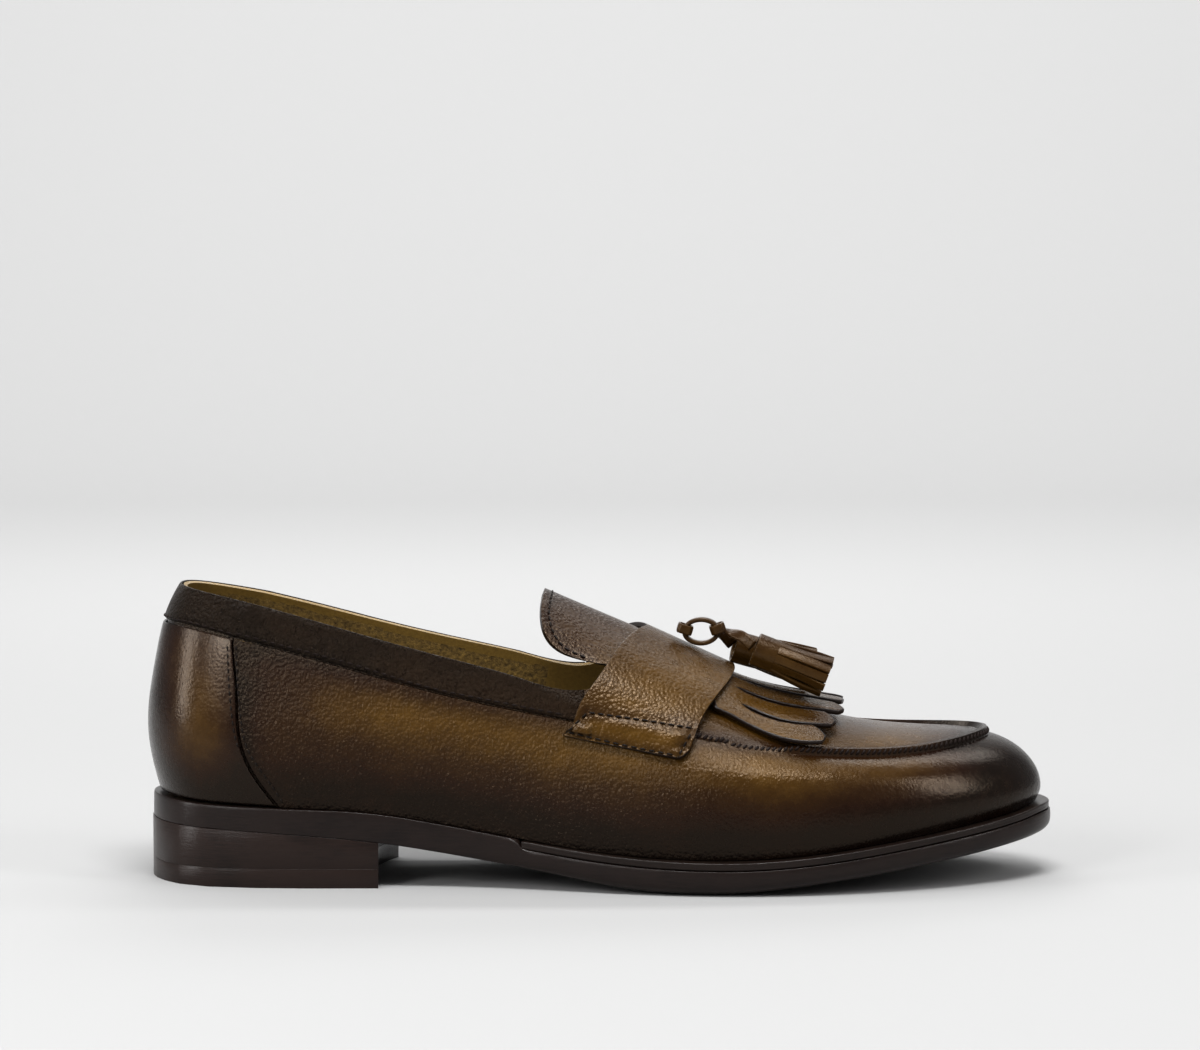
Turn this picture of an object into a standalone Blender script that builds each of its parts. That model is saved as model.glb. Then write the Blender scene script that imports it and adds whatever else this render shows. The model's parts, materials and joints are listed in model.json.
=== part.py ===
# Kiltie loafer, right shoe: lasted leather upper on a stitched leather sole with a stacked heel.
# The tables are in millimetres from the back of the heel: x to the toe, y to the inner side, z up.
import bmesh
import bpy
import math
import numpy as np

HEEL_REST_X = 36.0
WALL = 2.6
GAP = 0.3
RECESS = 1.2
LACE_THICK = 1.5
LACE_WIDE = 3.8
WELT_THICK = 2.5
WELT_START = 6.3
INSOLE_THICK = 3.0
TONGUE_THICK = 1.75
TONGUE_LIFT = 0.85
TONGUE_ROW = 8.12
TONGUE_REACH = 0.54
KILTIE_THICK = 1.7
STRAP_THICK = 1.8
SLIT = 0.022
TOP_PIECE_THICK = 6.3
BREAST_LATERAL_X = 77.5
BREAST_MEDIAL_X = 80.5
BREAST_HOLLOW = 6.0
THROAT = 8
TOE = 17
COUNTER_ROW = 3.0
COLLAR_END = 7.44

# Feather line, where the upper meets the sole. One row for each section from heel back to toe tip.
FEATHER_COLUMNS = ("x", "y_lateral", "y_medial", "z")
FEATHER = (
    (2.5, 0.0, 0.0, 28.6),
    (7.5, -16.5, 16.5, 28.1),
    (20.0, -27.5, 27.5, 27.3),
    (45.0, -31.8, 31.2, 26.3),
    (70.0, -32.2, 30.6, 25.4),
    (95.0, -33.0, 28.0, 21.9),
    (118.0, -35.6, 28.2, 17.8),
    (138.0, -39.4, 31.4, 14.6),
    (156.0, -43.2, 36.8, 12.6),
    (175.0, -46.6, 42.8, 11.5),
    (193.0, -48.0, 47.2, 11.3),
    (211.0, -47.4, 49.4, 12.3),
    (230.0, -44.2, 48.2, 14.3),
    (250.0, -38.0, 44.0, 17.1),
    (268.0, -29.4, 37.0, 19.7),
    (283.0, -19.2, 28.0, 22.0),
    (292.6, -8.6, 17.0, 23.8),
    (296.5, 4.0, 4.0, 24.8),
)
# Widest line of the wall. Fullness is how far the shoulder above it is filled, 0.5 is straight.
BULGE_COLUMNS = ("x", "y_lateral", "y_medial", "z", "fullness")
BULGE = (
    (-1.9, 0.0, 0.0, 50.0, 0.57),
    (2.8, -17.2, 17.2, 49.5, 0.57),
    (14.0, -28.6, 28.6, 48.5, 0.57),
    (32.5, -33.6, 33.2, 46.0, 0.56),
    (66.0, -34.6, 33.4, 42.0, 0.55),
    (94.0, -35.2, 31.6, 38.0, 0.56),
    (117.5, -37.4, 32.0, 34.0, 0.58),
    (138.0, -41.2, 35.2, 29.5, 0.62),
    (156.0, -45.0, 39.8, 26.0, 0.65),
    (175.0, -48.3, 45.2, 23.5, 0.67),
    (193.0, -49.6, 49.0, 22.6, 0.69),
    (212.0, -48.6, 50.8, 23.0, 0.70),
    (231.5, -45.0, 49.4, 24.8, 0.70),
    (252.0, -39.2, 45.2, 26.8, 0.69),
    (270.0, -30.6, 38.2, 28.2, 0.68),
    (284.8, -20.2, 28.8, 29.0, 0.67),
    (294.4, -9.0, 17.4, 29.4, 0.67),
    (298.3, 4.0, 4.0, 29.5, 0.67),
)
# Seam line: the collar band's lower seam behind the strap, the moccasin seam in front of it.
SEAM_COLUMNS = ("x", "y_lateral", "y_medial", "z_lateral", "z_medial")
SEAM = (
    (4.2, 0.0, 0.0, 85.6, 85.6),
    (7.8, -14.2, 14.2, 85.7, 85.7),
    (17.0, -22.4, 22.4, 84.6, 84.8),
    (30.0, -27.4, 27.2, 81.6, 82.2),
    (64.0, -30.6, 29.8, 73.0, 74.6),
    (93.0, -33.0, 30.6, 64.6, 67.0),
    (117.0, -35.4, 32.0, 59.8, 62.6),
    (139.0, -38.2, 34.8, 55.8, 58.8),
    (156.0, -39.6, 37.4, 53.2, 56.0),
    (173.0, -39.9, 39.2, 50.6, 53.2),
    (190.0, -39.2, 39.6, 48.2, 50.8),
    (206.0, -37.4, 38.8, 46.0, 48.6),
    (223.0, -34.2, 36.6, 44.4, 46.8),
    (240.0, -29.6, 32.6, 43.4, 45.4),
    (256.0, -22.8, 27.0, 43.9, 45.6),
    (269.0, -13.6, 19.6, 45.4, 46.4),
    (276.6, -4.6, 12.4, 46.6, 46.9),
    (279.0, 4.0, 4.0, 47.0, 47.0),
)
# Top line round the mouth, from heel back to the middle of the throat.
TOPLINE_COLUMNS = ("x", "y_lateral", "y_medial", "z_lateral", "z_medial")
TOPLINE = (
    (9.6, 0.0, 0.0, 97.9, 97.9),
    (12.2, -11.8, 11.8, 97.5, 97.5),
    (20.0, -18.8, 18.8, 96.0, 96.0),
    (36.0, -23.4, 23.4, 92.6, 92.9),
    (65.0, -26.6, 26.2, 84.8, 85.4),
    (93.0, -29.6, 28.0, 77.0, 78.0),
    (121.0, -32.6, 30.4, 70.4, 72.0),
    (141.5, -34.4, 32.4, 65.6, 68.0),
    (163.0, 0.4, 0.4, 79.2, 79.2),
)
# Crown line, from over the mouth to the end of the apron. The throat is its third row.
CROWN_START = 6
CROWN_COLUMNS = ("x", "y", "z")
CROWN = (
    (121.0, 0.2, 99.0),
    (146.0, 0.3, 87.2),
    (163.0, 0.4, 79.2),
    (172.0, 0.7, 75.0),
    (183.0, 0.9, 69.9),
    (197.0, 1.3, 63.6),
    (213.0, 1.8, 57.4),
    (229.0, 2.4, 52.6),
    (242.0, 3.0, 50.0),
    (251.0, 3.5, 49.0),
    (255.6, 3.8, 48.7),
    (257.0, 4.0, 48.6),
)
# How far up from the seam line to the crown the wall reaches in front of the mouth's sides.
MOUTH_CUT_COLUMNS = ("row", "reach")
MOUTH_CUT = (
    (6.0, 0.16),
    (7.0, 0.20),
    (7.5, 0.30),
    (7.8, 0.47),
    (7.93, 0.70),
    (8.0, 1.0),
)
# Underside of the outsole along its middle. It is flat from the ball back to the joint.
UNDERSIDE_COLUMNS = ("x", "z")
UNDERSIDE = (
    (-2.0, 20.2),
    (36.0, 18.4),
    (60.0, 16.7),
    (78.0, 14.8),
    (100.0, 11.2),
    (122.0, 7.2),
    (140.0, 4.0),
    (155.0, 1.2),
    (166.0, 0.0),
    (194.0, 0.0),
    (206.0, 1.1),
    (220.0, 2.7),
    (240.0, 5.2),
    (260.0, 7.9),
    (280.0, 10.8),
    (302.0, 14.2),
)
# How far the sole stands out from the feather line, and how much its lower edge is rounded up.
EDGE_COLUMNS = ("row", "margin_lateral", "margin_medial", "round_up")
EDGE = (
    (0.0, 2.6, 2.6, 0.0),
    (3.0, 2.0, 2.0, 0.0),
    (4.4, 1.7, 1.4, 0.2),
    (6.0, 1.9, 1.3, 1.0),
    (8.0, 3.6, 3.0, 1.7),
    (10.0, 4.6, 4.5, 2.0),
    (13.0, 4.6, 4.7, 2.0),
    (17.0, 4.9, 4.9, 2.0),
)
# Profile across the seam line, by distance in millimetres and height over the last.
RIDGE_COLUMNS = ("across", "moccasin", "collar")
RIDGE = (
    (-3.2, 0.0, 0.0),
    (-1.3, -0.1, 0.0),
    (-0.3, 1.7, 0.0),
    (0.1, 2.2, -RECESS),
    (1.3, 2.0, -RECESS),
    (2.4, 0.1, -RECESS),
)
# Saddle strap, measured on the last: level is 3 at the seam line and 4 at the crown.
STRAP_COLUMNS = ("level", "row_rear", "row_front", "lift")
STRAP = (
    (2.72, 6.93, 9.12, 0.45),
    (2.90, 7.00, 9.34, 0.50),
    (3.00, 7.08, 9.45, 0.75),
    (3.13, 7.20, 9.55, 1.90),
    (3.28, 7.44, 9.80, 2.90),
    (3.42, 7.58, 10.05, 3.10),
    (3.55, 7.68, 10.27, 3.10),
    (3.68, 7.80, 10.44, 3.10),
    (3.80, 7.91, 10.57, 3.10),
    (3.91, 8.00, 10.66, 3.10),
    (4.00, 8.06, 10.70, 3.10),
)
# Free edge of the tongue, from the crown to the place where it goes under the strap.
TONGUE_COLUMNS = ("share", "x", "y", "z")
TONGUE = (
    (0.0, 131.3, 0.0, 95.8),
    (0.15, 131.0, 6.0, 94.8),
    (0.35, 130.1, 13.0, 91.0),
    (0.55, 130.2, 18.8, 86.0),
    (0.72, 132.4, 23.4, 80.8),
    (0.87, 137.4, 26.0, 76.2),
    (1.0, 147.0, 26.2, 73.4),
)
# Kiltie strips from the outer side to the inner side, measured across from the crown in levels.
KILTIE_ROW = 9.9
KILTIE_SLIT_ROW = 10.6
STRIP_CUTS = (0.1, 0.3, 0.5, 0.7, 0.88, 1.0)
STRIP_COLUMNS = ("low", "high", "row_tip", "tip_lift")
STRIPS = (
    (-1.03, -0.74, 12.05, 3.1),
    (-0.74, -0.45, 12.50, 2.8),
    (-0.45, -0.16, 12.85, 3.2),
    (-0.16, 0.16, 13.05, 3.8),
    (0.16, 0.45, 12.90, 4.2),
    (0.45, 0.74, 12.55, 4.0),
    (0.74, 1.03, 12.10, 3.6),
)
# Tassels: middle of the cap's upper end, and middle of the skirt's tips.
TASSEL_COLUMNS = ("name", "x_cap", "y_cap", "z_cap", "x_tip", "y_tip", "z_tip", "radius")
TASSELS = (
    ("tassel_near", 201.0, -8.5, 76.2, 225.4, -9.6, 66.6, 5.6),
    ("tassel_far", 194.6, 8.6, 75.2, 221.4, 10.6, 67.6, 5.4),
)
TASSEL_STRIPS = 10
TASSEL_CAP = 9.0
# Bow of the flat lace: a ring over the strap, a band round each end of it and a tail to each tassel.
BOW_CENTRE = (183.4, -2.5, 81.3)
BOW_RADIUS_X = 5.6
BOW_RADIUS_Z = 4.0
# Section of the flat thong as shares of its width and thickness.
THONG = ((-0.5, -0.25), (-0.36, -0.5), (0.36, -0.5), (0.5, -0.25))
THONG += ((0.5, 0.25), (0.36, 0.5), (-0.36, 0.5), (-0.5, 0.25))
BAND_THICK = 1.0
BAND_TALL = 3.2
BAND_ANGLES = (("lace_band_rear", 168.0), ("lace_band_front", 14.0))
TAILS = (
    ("lace_tail_near", ((192.9, -3.6, 81.0), (197.0, -6.6, 79.8), (200.3, -8.3, 76.9))),
    ("lace_tail_far", ((189.6, 3.2, 80.6), (191.4, 6.0, 79.0), (193.9, 8.4, 75.9))),
)


def fair_curve(knots, points, period=0.0):
    """Smooth curve through the points, closed on itself where a period is given."""
    t = np.array(knots, float)
    p = np.array(points, float)
    n = len(t)
    step = np.diff(np.append(t, t[0] + period) if period else t)
    following = np.roll(p, -1, axis=0) if period else p[1:]
    chord = (following - (p if period else p[:-1])) / step[:, None]
    a = np.zeros((n, n))
    b = np.zeros_like(p)
    for i in range(n):
        if not period and i in (0, n - 1):
            j, k = (1, 0) if i == 0 else (n - 2, n - 2)
            a[i, i], a[i, j] = 2.0, 1.0
            b[i] = 3.0 * chord[k]
            continue
        h0, h1 = step[i - 1], step[i]
        a[i, (i - 1) % n] += 1.0 / h0
        a[i, i] += 2.0 / h0 + 2.0 / h1
        a[i, (i + 1) % n] += 1.0 / h1
        b[i] = 3.0 * (chord[i - 1] / h0 + chord[i] / h1)
    slope = np.linalg.solve(a, b)

    def at(value):
        v = t[0] + (value - t[0]) % period if period else min(max(value, t[0]), t[-1])
        i = min(int(np.searchsorted(t, v, side="right")) - 1, len(step) - 1)
        j = (i + 1) % n
        return hermite(p[i], p[j], slope[i], slope[j], step[i], (v - t[i]) / step[i])

    return at


def hermite(p0, p1, d0, d1, h, s):
    """Cubic between two points with the given slopes, h long, at the fraction s."""
    rise = (3.0 - 2.0 * s) * s * s
    return p0 * (1 - rise) + p1 * rise + h * (d0 * s * (1 - s) ** 2 - d1 * s * s * (1 - s))


def smooth(a, b, v):
    """Soft step from 0 at a to 1 at b."""
    s = min(max((v - a) / (b - a), 0.0), 1.0)
    return s * s * (3.0 - 2.0 * s)


def column(table, names, name):
    """One named column of a table."""
    return [row[names.index(name)] for row in table]


def steady(table, names, across, name, value):
    """Value of a column without overshoot, so that level stretches stay level."""
    x = column(table, names, across)
    y = column(table, names, name)
    v = min(max(value, x[0]), x[-1])
    i = min(int(np.searchsorted(x, v, side="right")) - 1, len(x) - 2)
    grade = [(y[k + 1] - y[k]) / (x[k + 1] - x[k]) for k in range(len(x) - 1)]

    def slope(k):
        if k in (0, len(x) - 1):
            return grade[0] if k == 0 else grade[-1]
        a, b = grade[k - 1], grade[k]
        return 2.0 * a * b / (a + b) if a * b > 0 else 0.0

    h = x[i + 1] - x[i]
    return hermite(y[i], y[i + 1], slope(i), slope(i + 1), h, (v - x[i]) / h)


def side_points(table, names):
    """Lateral and medial points of every row of a table of the last."""
    z_names = ("z_lateral", "z_medial") if "z_lateral" in names else ("z", "z")
    lists = []
    for y_name, z_name in zip(("y_lateral", "y_medial"), z_names):
        parts = [column(table, names, n) for n in ("x", y_name, z_name)]
        lists.append(list(zip(*parts)))
    return lists


def closed_line(table, names, knots):
    """Line round the whole shoe, from the toe by the lateral side, the heel and the medial side."""
    lateral, medial = side_points(table, names)
    points = lateral[:0:-1] + medial[:-1]
    stations = [-k for k in knots[:0:-1]] + list(knots[:-1])
    return fair_curve(stations, points, period=2.0 * knots[-1])


def row_lengths(table, names):
    """Distance of each row from the heel back, measured along the line of a table."""
    lateral, medial = (np.array(p) for p in side_points(table, names))
    steps = [np.linalg.norm(np.diff(p, axis=0), axis=1) for p in (lateral, medial)]
    return np.concatenate([[0.0], np.cumsum(0.5 * (steps[0] + steps[1]))])


KNOTS = row_lengths(BULGE, BULGE_COLUMNS)
FEATHER_LINE = closed_line(FEATHER, FEATHER_COLUMNS, KNOTS)
BULGE_LINE = closed_line(BULGE, BULGE_COLUMNS, KNOTS)
SEAM_LINE = closed_line(SEAM, SEAM_COLUMNS, KNOTS)
MOUTH_KNOTS = row_lengths(TOPLINE, TOPLINE_COLUMNS)
MOUTH_LINE = closed_line(TOPLINE, TOPLINE_COLUMNS, MOUTH_KNOTS)
CROWN_LINE = fair_curve(KNOTS[CROWN_START:], CROWN)


def station(q):
    """Distance along the shoe for a row number, negative on the lateral side."""
    return math.copysign(float(np.interp(abs(q), range(TOE + 1), KNOTS)), q)


def last_points(q, instep=False):
    """Feather, widest, shoulder, seam and top point of a row, the top at the mouth or on the instep."""
    q = q - 2 * TOE if q > TOE else q + 2 * TOE if q < -TOE else q
    t = station(q)
    feather, bulge, seam = FEATHER_LINE(t), BULGE_LINE(t), SEAM_LINE(t)
    mouth = math.copysign(float(np.interp(abs(q), range(THROAT + 1), MOUTH_KNOTS)), q)
    top = CROWN_LINE(abs(t)) if instep or abs(q) > THROAT else MOUTH_LINE(mouth)
    full = float(np.interp(abs(q), range(TOE + 1), column(BULGE, BULGE_COLUMNS, "fullness")))
    shoulder = np.append(seam[:2] + (bulge[:2] - seam[:2]) * full, bulge[2] + (seam[2] - bulge[2]) * full)
    return [feather, bulge, shoulder, seam, top]


def section_point(q, level, instep):
    """Point on the smooth section through the five points of a row."""
    p = last_points(q, instep)
    h = [float(np.linalg.norm(p[i + 1] - p[i])) for i in range(4)]
    chord = [(p[i + 1] - p[i]) / h[i] for i in range(4)]
    inner = [(h[i] * chord[i - 1] + h[i - 1] * chord[i]) / (h[i - 1] + h[i]) for i in (1, 2, 3)]
    first = 1.5 * chord[0] - 0.5 * inner[0]
    last = 1.5 * chord[3] - 0.5 * inner[2]
    if instep or abs(q) > THROAT:
        t = abs(station(q))
        ahead = CROWN_LINE(t + 3.0) - CROWN_LINE(t - 3.0)
        last = np.array([chord[3][0], chord[3][1], chord[3][0] * ahead[2] / ahead[0]])
        last = last / np.linalg.norm(last)
    slopes = [first] + inner + [last]
    i = min(int(level), 3)
    return hermite(p[i], p[i + 1], slopes[i], slopes[i + 1], h[i], level - i)


def last_surface(q, level, instep=False):
    """Point of the last: row number along the shoe, level 0 at the sole to 4 at the top."""
    cut = smooth(MOUTH_CUT[0][0], MOUTH_CUT[1][0], abs(q))
    if instep or abs(q) >= THROAT or not cut:
        return section_point(q, level, instep)
    reach = steady(MOUTH_CUT, MOUTH_CUT_COLUMNS, "row", "reach", abs(q))
    point = section_point(q, min(level, 3.0) + max(level - 3.0, 0.0) * reach, True)
    return point * cut + section_point(q, level, False) * (1.0 - cut) if cut < 1.0 else point


def outward(q, level, instep=False):
    """Direction that points out of the shoe."""
    top = min(level + 0.02, 4.0)
    low = max(top - 0.04, 0.0)
    rise = last_surface(q, top, instep) - last_surface(q, low, instep)
    ahead = last_surface(q + 0.04, level, instep) - last_surface(q - 0.04, level, instep)
    if abs(abs(q) - THROAT) < 0.05 and level > 3.9 and not instep:
        ahead = last_surface(q + math.copysign(0.1, q), level) - last_surface(q, level)
        ahead = ahead * math.copysign(1.0, q)
    if abs(q) > TOE - 0.1 and level > 3.9:
        ahead = np.array([0.0, -1.0, 0.0])
    n = np.cross(rise, ahead)
    return n / np.linalg.norm(n)


def over_last(q, level, height, instep=False):
    """Point at a height over the last, negative inside it."""
    return last_surface(q, level, instep) + outward(q, level, instep) * height


def seam_level(q, across):
    """Level at a distance in millimetres from the seam line, negative towards the sole."""
    p = last_points(q)
    span = np.linalg.norm(p[3] - p[2]) if across < 0 else np.linalg.norm(p[4] - p[3])
    return 3.0 + across / float(span)


def plan_normal(line, t):
    """Outward direction of a line round the shoe, seen from above."""
    d = line(t + 0.5) - line(t - 0.5)
    n = np.array([-d[1], d[0], 0.0])
    return n / np.linalg.norm(n)


def sole_point(q, inset, z):
    """Point of the sole's outline, moved in by inset, at the height z."""
    t = station(q)
    side = "margin_medial" if q > 0 else "margin_lateral"
    reach = steady(EDGE, EDGE_COLUMNS, "row", side, abs(q)) - inset
    p = FEATHER_LINE(t) + plan_normal(FEATHER_LINE, t) * reach
    return np.array([p[0], p[1], z])


def seat_z(x):
    """Height at which the upper and the insole rest on the sole."""
    return steady(FEATHER, FEATHER_COLUMNS, "x", "z", x) - GAP


def underside_z(x):
    """Height of the outsole's underside along its middle."""
    return steady(UNDERSIDE, UNDERSIDE_COLUMNS, "x", "z", x)


def material(name, rgb, roughness):
    """Plain leather with one colour."""
    m = bpy.data.materials.new(name)
    m.use_nodes = True
    shader = m.node_tree.nodes["Principled BSDF"]
    shader.inputs["Base Color"].default_value = (*rgb, 1.0)
    shader.inputs["Roughness"].default_value = roughness
    return m


def solid(name, faces, look):
    """One closed body from faces given by their corner points, joined where the corners meet."""
    index, points, polygons = {}, [], []
    for face in faces:
        ring = []
        for p in face:
            key = tuple(int(round(float(c) * 2000.0)) for c in p)
            if key not in index:
                index[key] = len(points)
                points.append([(p[0] - HEEL_REST_X) / 1000.0, p[1] / 1000.0, p[2] / 1000.0])
            if not ring or ring[-1] != index[key]:
                ring.append(index[key])
        if len(ring) > 1 and ring[0] == ring[-1]:
            ring.pop()
        if len(set(ring)) > 2 and len(set(ring)) == len(ring):
            polygons.append(ring)
    mesh = bpy.data.meshes.new(name)
    mesh.from_pydata(points, [], polygons)
    body = bmesh.new()
    body.from_mesh(mesh)
    bmesh.ops.recalc_face_normals(body, faces=body.faces)
    if body.calc_volume(signed=True) < 0:
        bmesh.ops.reverse_faces(body, faces=body.faces)
    body.to_mesh(mesh)
    body.free()
    item = bpy.data.objects.new(name, mesh)
    bpy.context.collection.objects.link(item)
    item.data.materials.append(look)
    return item


def walled(name, sheets, look):
    """Wall from sheets of corner pairs, outer and inner point, closed along every free edge."""
    index, pairs, quads = {}, [], []
    for sheet in sheets:
        for row, following in zip(sheet[:-1], sheet[1:]):
            for i in range(len(row) - 1):
                ring = []
                for pair in (row[i], row[i + 1], following[i + 1], following[i]):
                    key = tuple(int(round(float(c) * 200.0)) for c in pair[0])
                    if key not in index:
                        index[key] = len(pairs)
                        pairs.append(pair)
                    if index[key] not in ring:
                        ring.append(index[key])
                if len(ring) > 2:
                    quads.append(ring)
    faces, count = [], {}
    for ring in quads:
        faces.append([pairs[i][0] for i in ring])
        faces.append([pairs[i][1] for i in reversed(ring)])
        for a, b in zip(ring, ring[1:] + ring[:1]):
            count.setdefault((min(a, b), max(a, b)), []).append((a, b))
    for uses in count.values():
        if len(uses) == 1:
            a, b = uses[0]
            faces.append([pairs[b][0], pairs[a][0], pairs[a][1], pairs[b][1]])
    return solid(name, faces, look)


def lofted(name, sections, look, cap_first=False, cap_last=False):
    """Body through closed sections of equal point count. A cap joins the points in pairs."""
    faces = []
    n = len(sections[0])
    for a, b in zip(sections[:-1], sections[1:]):
        faces += [[a[i], a[(i + 1) % n], b[(i + 1) % n], b[i]] for i in range(n)]
    for section, wanted in ((sections[0], cap_first), (sections[-1], cap_last)):
        if wanted:
            pairs = [(section[i], section[n - 1 - i]) for i in range(n // 2)]
            faces += [[a[0], b[0], b[1], a[1]] for a, b in zip(pairs[:-1], pairs[1:])]
    return solid(name, faces, look)


def last_rows():
    """Row numbers at which the upper is cut, closer together at the toe and heel."""
    rows = [0.0, 0.4, 0.8, 1.2, 1.6, 2.0, 2.5, 2.96, 3.0, 3.6, 4.4, 5.2, 6.0, 6.5, 7.0]
    rows += [7.25, 7.4, 7.44, 7.7, 8.0, 8.5, 9.1, 10.0, 10.8, 11.4, 12.0, 12.6, 13.2]
    rows += [13.8, 14.4, 15.0, 15.5, 16.0, 16.5, 17.0]
    return rows


def upper_levels(q):
    """Levels of the upper at a row, each with its height over the last."""
    moccasin = smooth(10.6, 11.9, abs(q))
    collar = 1.0 if abs(q) < COLLAR_END - 0.02 else 0.0
    counter = 1.0 if abs(q) < COUNTER_ROW - 0.02 else 0.0
    levels = [(level, -RECESS * counter) for level in (0.0, 0.45, 0.9, 1.4, 1.9, 2.4)]
    for across, ridge, band in RIDGE:
        under = -RECESS * counter if across < 0 else 0.0
        levels.append((seam_level(q, across), ridge * moccasin + min(band * collar, 0.0) + under))
    start = levels[-1][0]
    levels += [(start + (4.0 - start) * part, -RECESS * collar) for part in (0.33, 0.66, 1.0)]
    return levels


def build_upper(look):
    """Vamp and quarters in one hollow wall, open at the mouth and along the feather line."""
    sheets = []
    for side in (-1, 1):
        sheet = []
        for row in last_rows():
            q = side * row if row else side * 1e-6
            levels = upper_levels(q)
            sheet.append([(over_last(q, v, h), over_last(q, v, -WALL)) for v, h in levels])
        sheets.append(sheet)
    return walled("upper", sheets, look)


def build_collar_band(look):
    """Band round the mouth, let into the wall between the seam and the top line."""
    sheets = []
    for side in (-1, 1):
        sheet = []
        for row in [r for r in last_rows() if r < COLLAR_END - 0.1]:
            q = side * row if row else side * 1e-6
            levels = [seam_level(q, across) for across in (0.5, 1.3, 2.4)]
            levels += [levels[-1] + (4.0 - levels[-1]) * part for part in (0.33, 0.66, 1.0)]
            heights = [0.1, 0.35, 0.45, 0.45, 0.35, 0.0]
            places = zip(levels, heights)
            sheet.append([(over_last(q, v, h), over_last(q, v, GAP - RECESS)) for v, h in places])
        sheets.append(sheet)
    return walled("collar_band", sheets, look)


def build_counter(look):
    """Outside counter round the back of the heel, let into the wall."""
    sheets = []
    for side in (-1, 1):
        sheet = []
        for row in [r for r in last_rows() if r < COUNTER_ROW - 0.1] + [COUNTER_ROW - 0.08]:
            q = side * row if row else side * 1e-6
            levels = [0.03, 0.45, 0.9, 1.4, 1.9, 2.4, seam_level(q, -3.2), seam_level(q, -0.7)]
            sheet.append([(over_last(q, v, 0.2), over_last(q, v, 1.4 * GAP - RECESS)) for v in levels])
        sheets.append(sheet)
    return walled("heel_counter", sheets, look)


SOLE_ROWS = [0.0, 0.4, 0.8, 1.2, 1.6, 2.0, 2.5, 3.0, 3.5, 4.0, 4.5, 5.0, 5.5, 6.0]
SOLE_ROWS += [WELT_START - 0.03, WELT_START, 6.8, 7.4, 8.0, 8.7, 9.4, 10.2, 11.0, 11.6]
SOLE_ROWS += [12.2, 12.8, 13.4, 14.0, 14.5, 15.0, 15.5, 16.0, 16.5, 17.0]


def build_outsole(look):
    """Outsole with a ledge for the welt round the forefoot and a rounded lower edge."""
    sections = []
    for row in SOLE_ROWS:
        drop = WELT_THICK + GAP if row >= WELT_START else 0.0
        up = steady(EDGE, EDGE_COLUMNS, "row", "round_up", row)
        halves = []
        for side in (-1, 1):
            q = side * row
            edge = sole_point(q, 0.0, 0.0)
            low = underside_z(edge[0])
            ledge = seat_z(edge[0]) - drop
            rise = ledge - low
            reach = steady(EDGE, EDGE_COLUMNS, "row", "margin_medial" if side > 0 else "margin_lateral", row)
            plateau = sole_point(q, reach + 7.6, 0.0)
            inner = sole_point(q, reach + 7.2, 0.0)
            flat = sole_point(q, 12.0, 0.0)
            half = [
                np.array([plateau[0], plateau[1], seat_z(plateau[0])]),
                np.array([inner[0], inner[1], seat_z(inner[0]) - drop]),
                sole_point(q, 0.25, ledge),
                sole_point(q, 0.0, ledge - 0.18 * rise),
                sole_point(q, 0.0, low + up * 0.9 + 0.18 * rise),
                sole_point(q, 0.55 * up, low + up * 0.75),
                sole_point(q, 0.3 + 1.5 * up, low + up * 0.22),
                np.array([flat[0], flat[1], underside_z(flat[0])]),
            ]
            halves.append(half)
        sections.append(halves[0] + halves[1][::-1])
    return lofted("outsole", sections, look)


def build_welt(look):
    """Strip on the outsole's ledge, from the waist round the toe to the waist."""
    sections = []
    rows = [WELT_START + 0.02] + [row for row in SOLE_ROWS if row > WELT_START]
    for q in [-r for r in rows] + rows[-2::-1]:
        reach = steady(EDGE, EDGE_COLUMNS, "row", "margin_medial" if q > 0 else "margin_lateral", abs(q))
        inner = reach + 6.8
        ring = []
        for inset, down in ((0.35, 0.0), (0.62, 0.5), (0.35, 1.0), (inner, 1.0), (inner, 0.5), (inner, 0.0)):
            p = sole_point(q, inset, 0.0)
            ring.append(np.array([p[0], p[1], seat_z(p[0]) - WELT_THICK * down]))
        sections.append(ring)
    return lofted("welt", sections, look, cap_first=True, cap_last=True)


def build_insole(look):
    """Insole that fills the floor of the shoe inside the wall."""
    sections = []
    for row in SOLE_ROWS:
        halves = []
        for side in (-1, 1):
            t = station(side * row)
            p = FEATHER_LINE(t) - plan_normal(FEATHER_LINE, t) * (WALL + 0.7)
            low = seat_z(p[0]) + GAP
            halves.append([np.array([p[0], p[1], low + INSOLE_THICK]), np.array([p[0], p[1], low])])
        sections.append(halves[0] + halves[1][::-1])
    return lofted("insole", sections, look)


def heel_body(name, bottom, top, look):
    """Layer of the heel with the sole's outline and a hollow breast."""
    sections = []
    for share in [0.0, 0.03, 0.08, 0.15, 0.24, 0.35, 0.48, 0.62, 0.75, 0.88, 1.0]:
        edges = []
        for side, limit in ((-1, BREAST_LATERAL_X), (1, BREAST_MEDIAL_X)):
            reach = [q for q in np.linspace(0.0, 6.0, 241) if sole_point(side * q, 0.0, 0.0)[0] <= limit][-1]
            edges.append(sole_point(side * reach * share if share else side * 1e-6, 0.0, 0.0))
        upper_row, lower_row = [], []
        for c in np.linspace(-1.0, 1.0, 9):
            p = edges[0] + (edges[1] - edges[0]) * (c + 1.0) / 2.0
            x = p[0] - BREAST_HOLLOW * (1.0 - c * c) * smooth(0.4, 1.0, share)
            upper_row.append(np.array([x, p[1], top(x)]))
            lower_row.append(np.array([x, p[1], bottom(x)]))
        sections.append(upper_row + lower_row[::-1])
    return lofted(name, sections, look, cap_last=True)


def toward(a, b, c):
    """Direction square to the face through three points."""
    n = np.cross(b - a, c - a)
    return n / np.linalg.norm(n)


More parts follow.
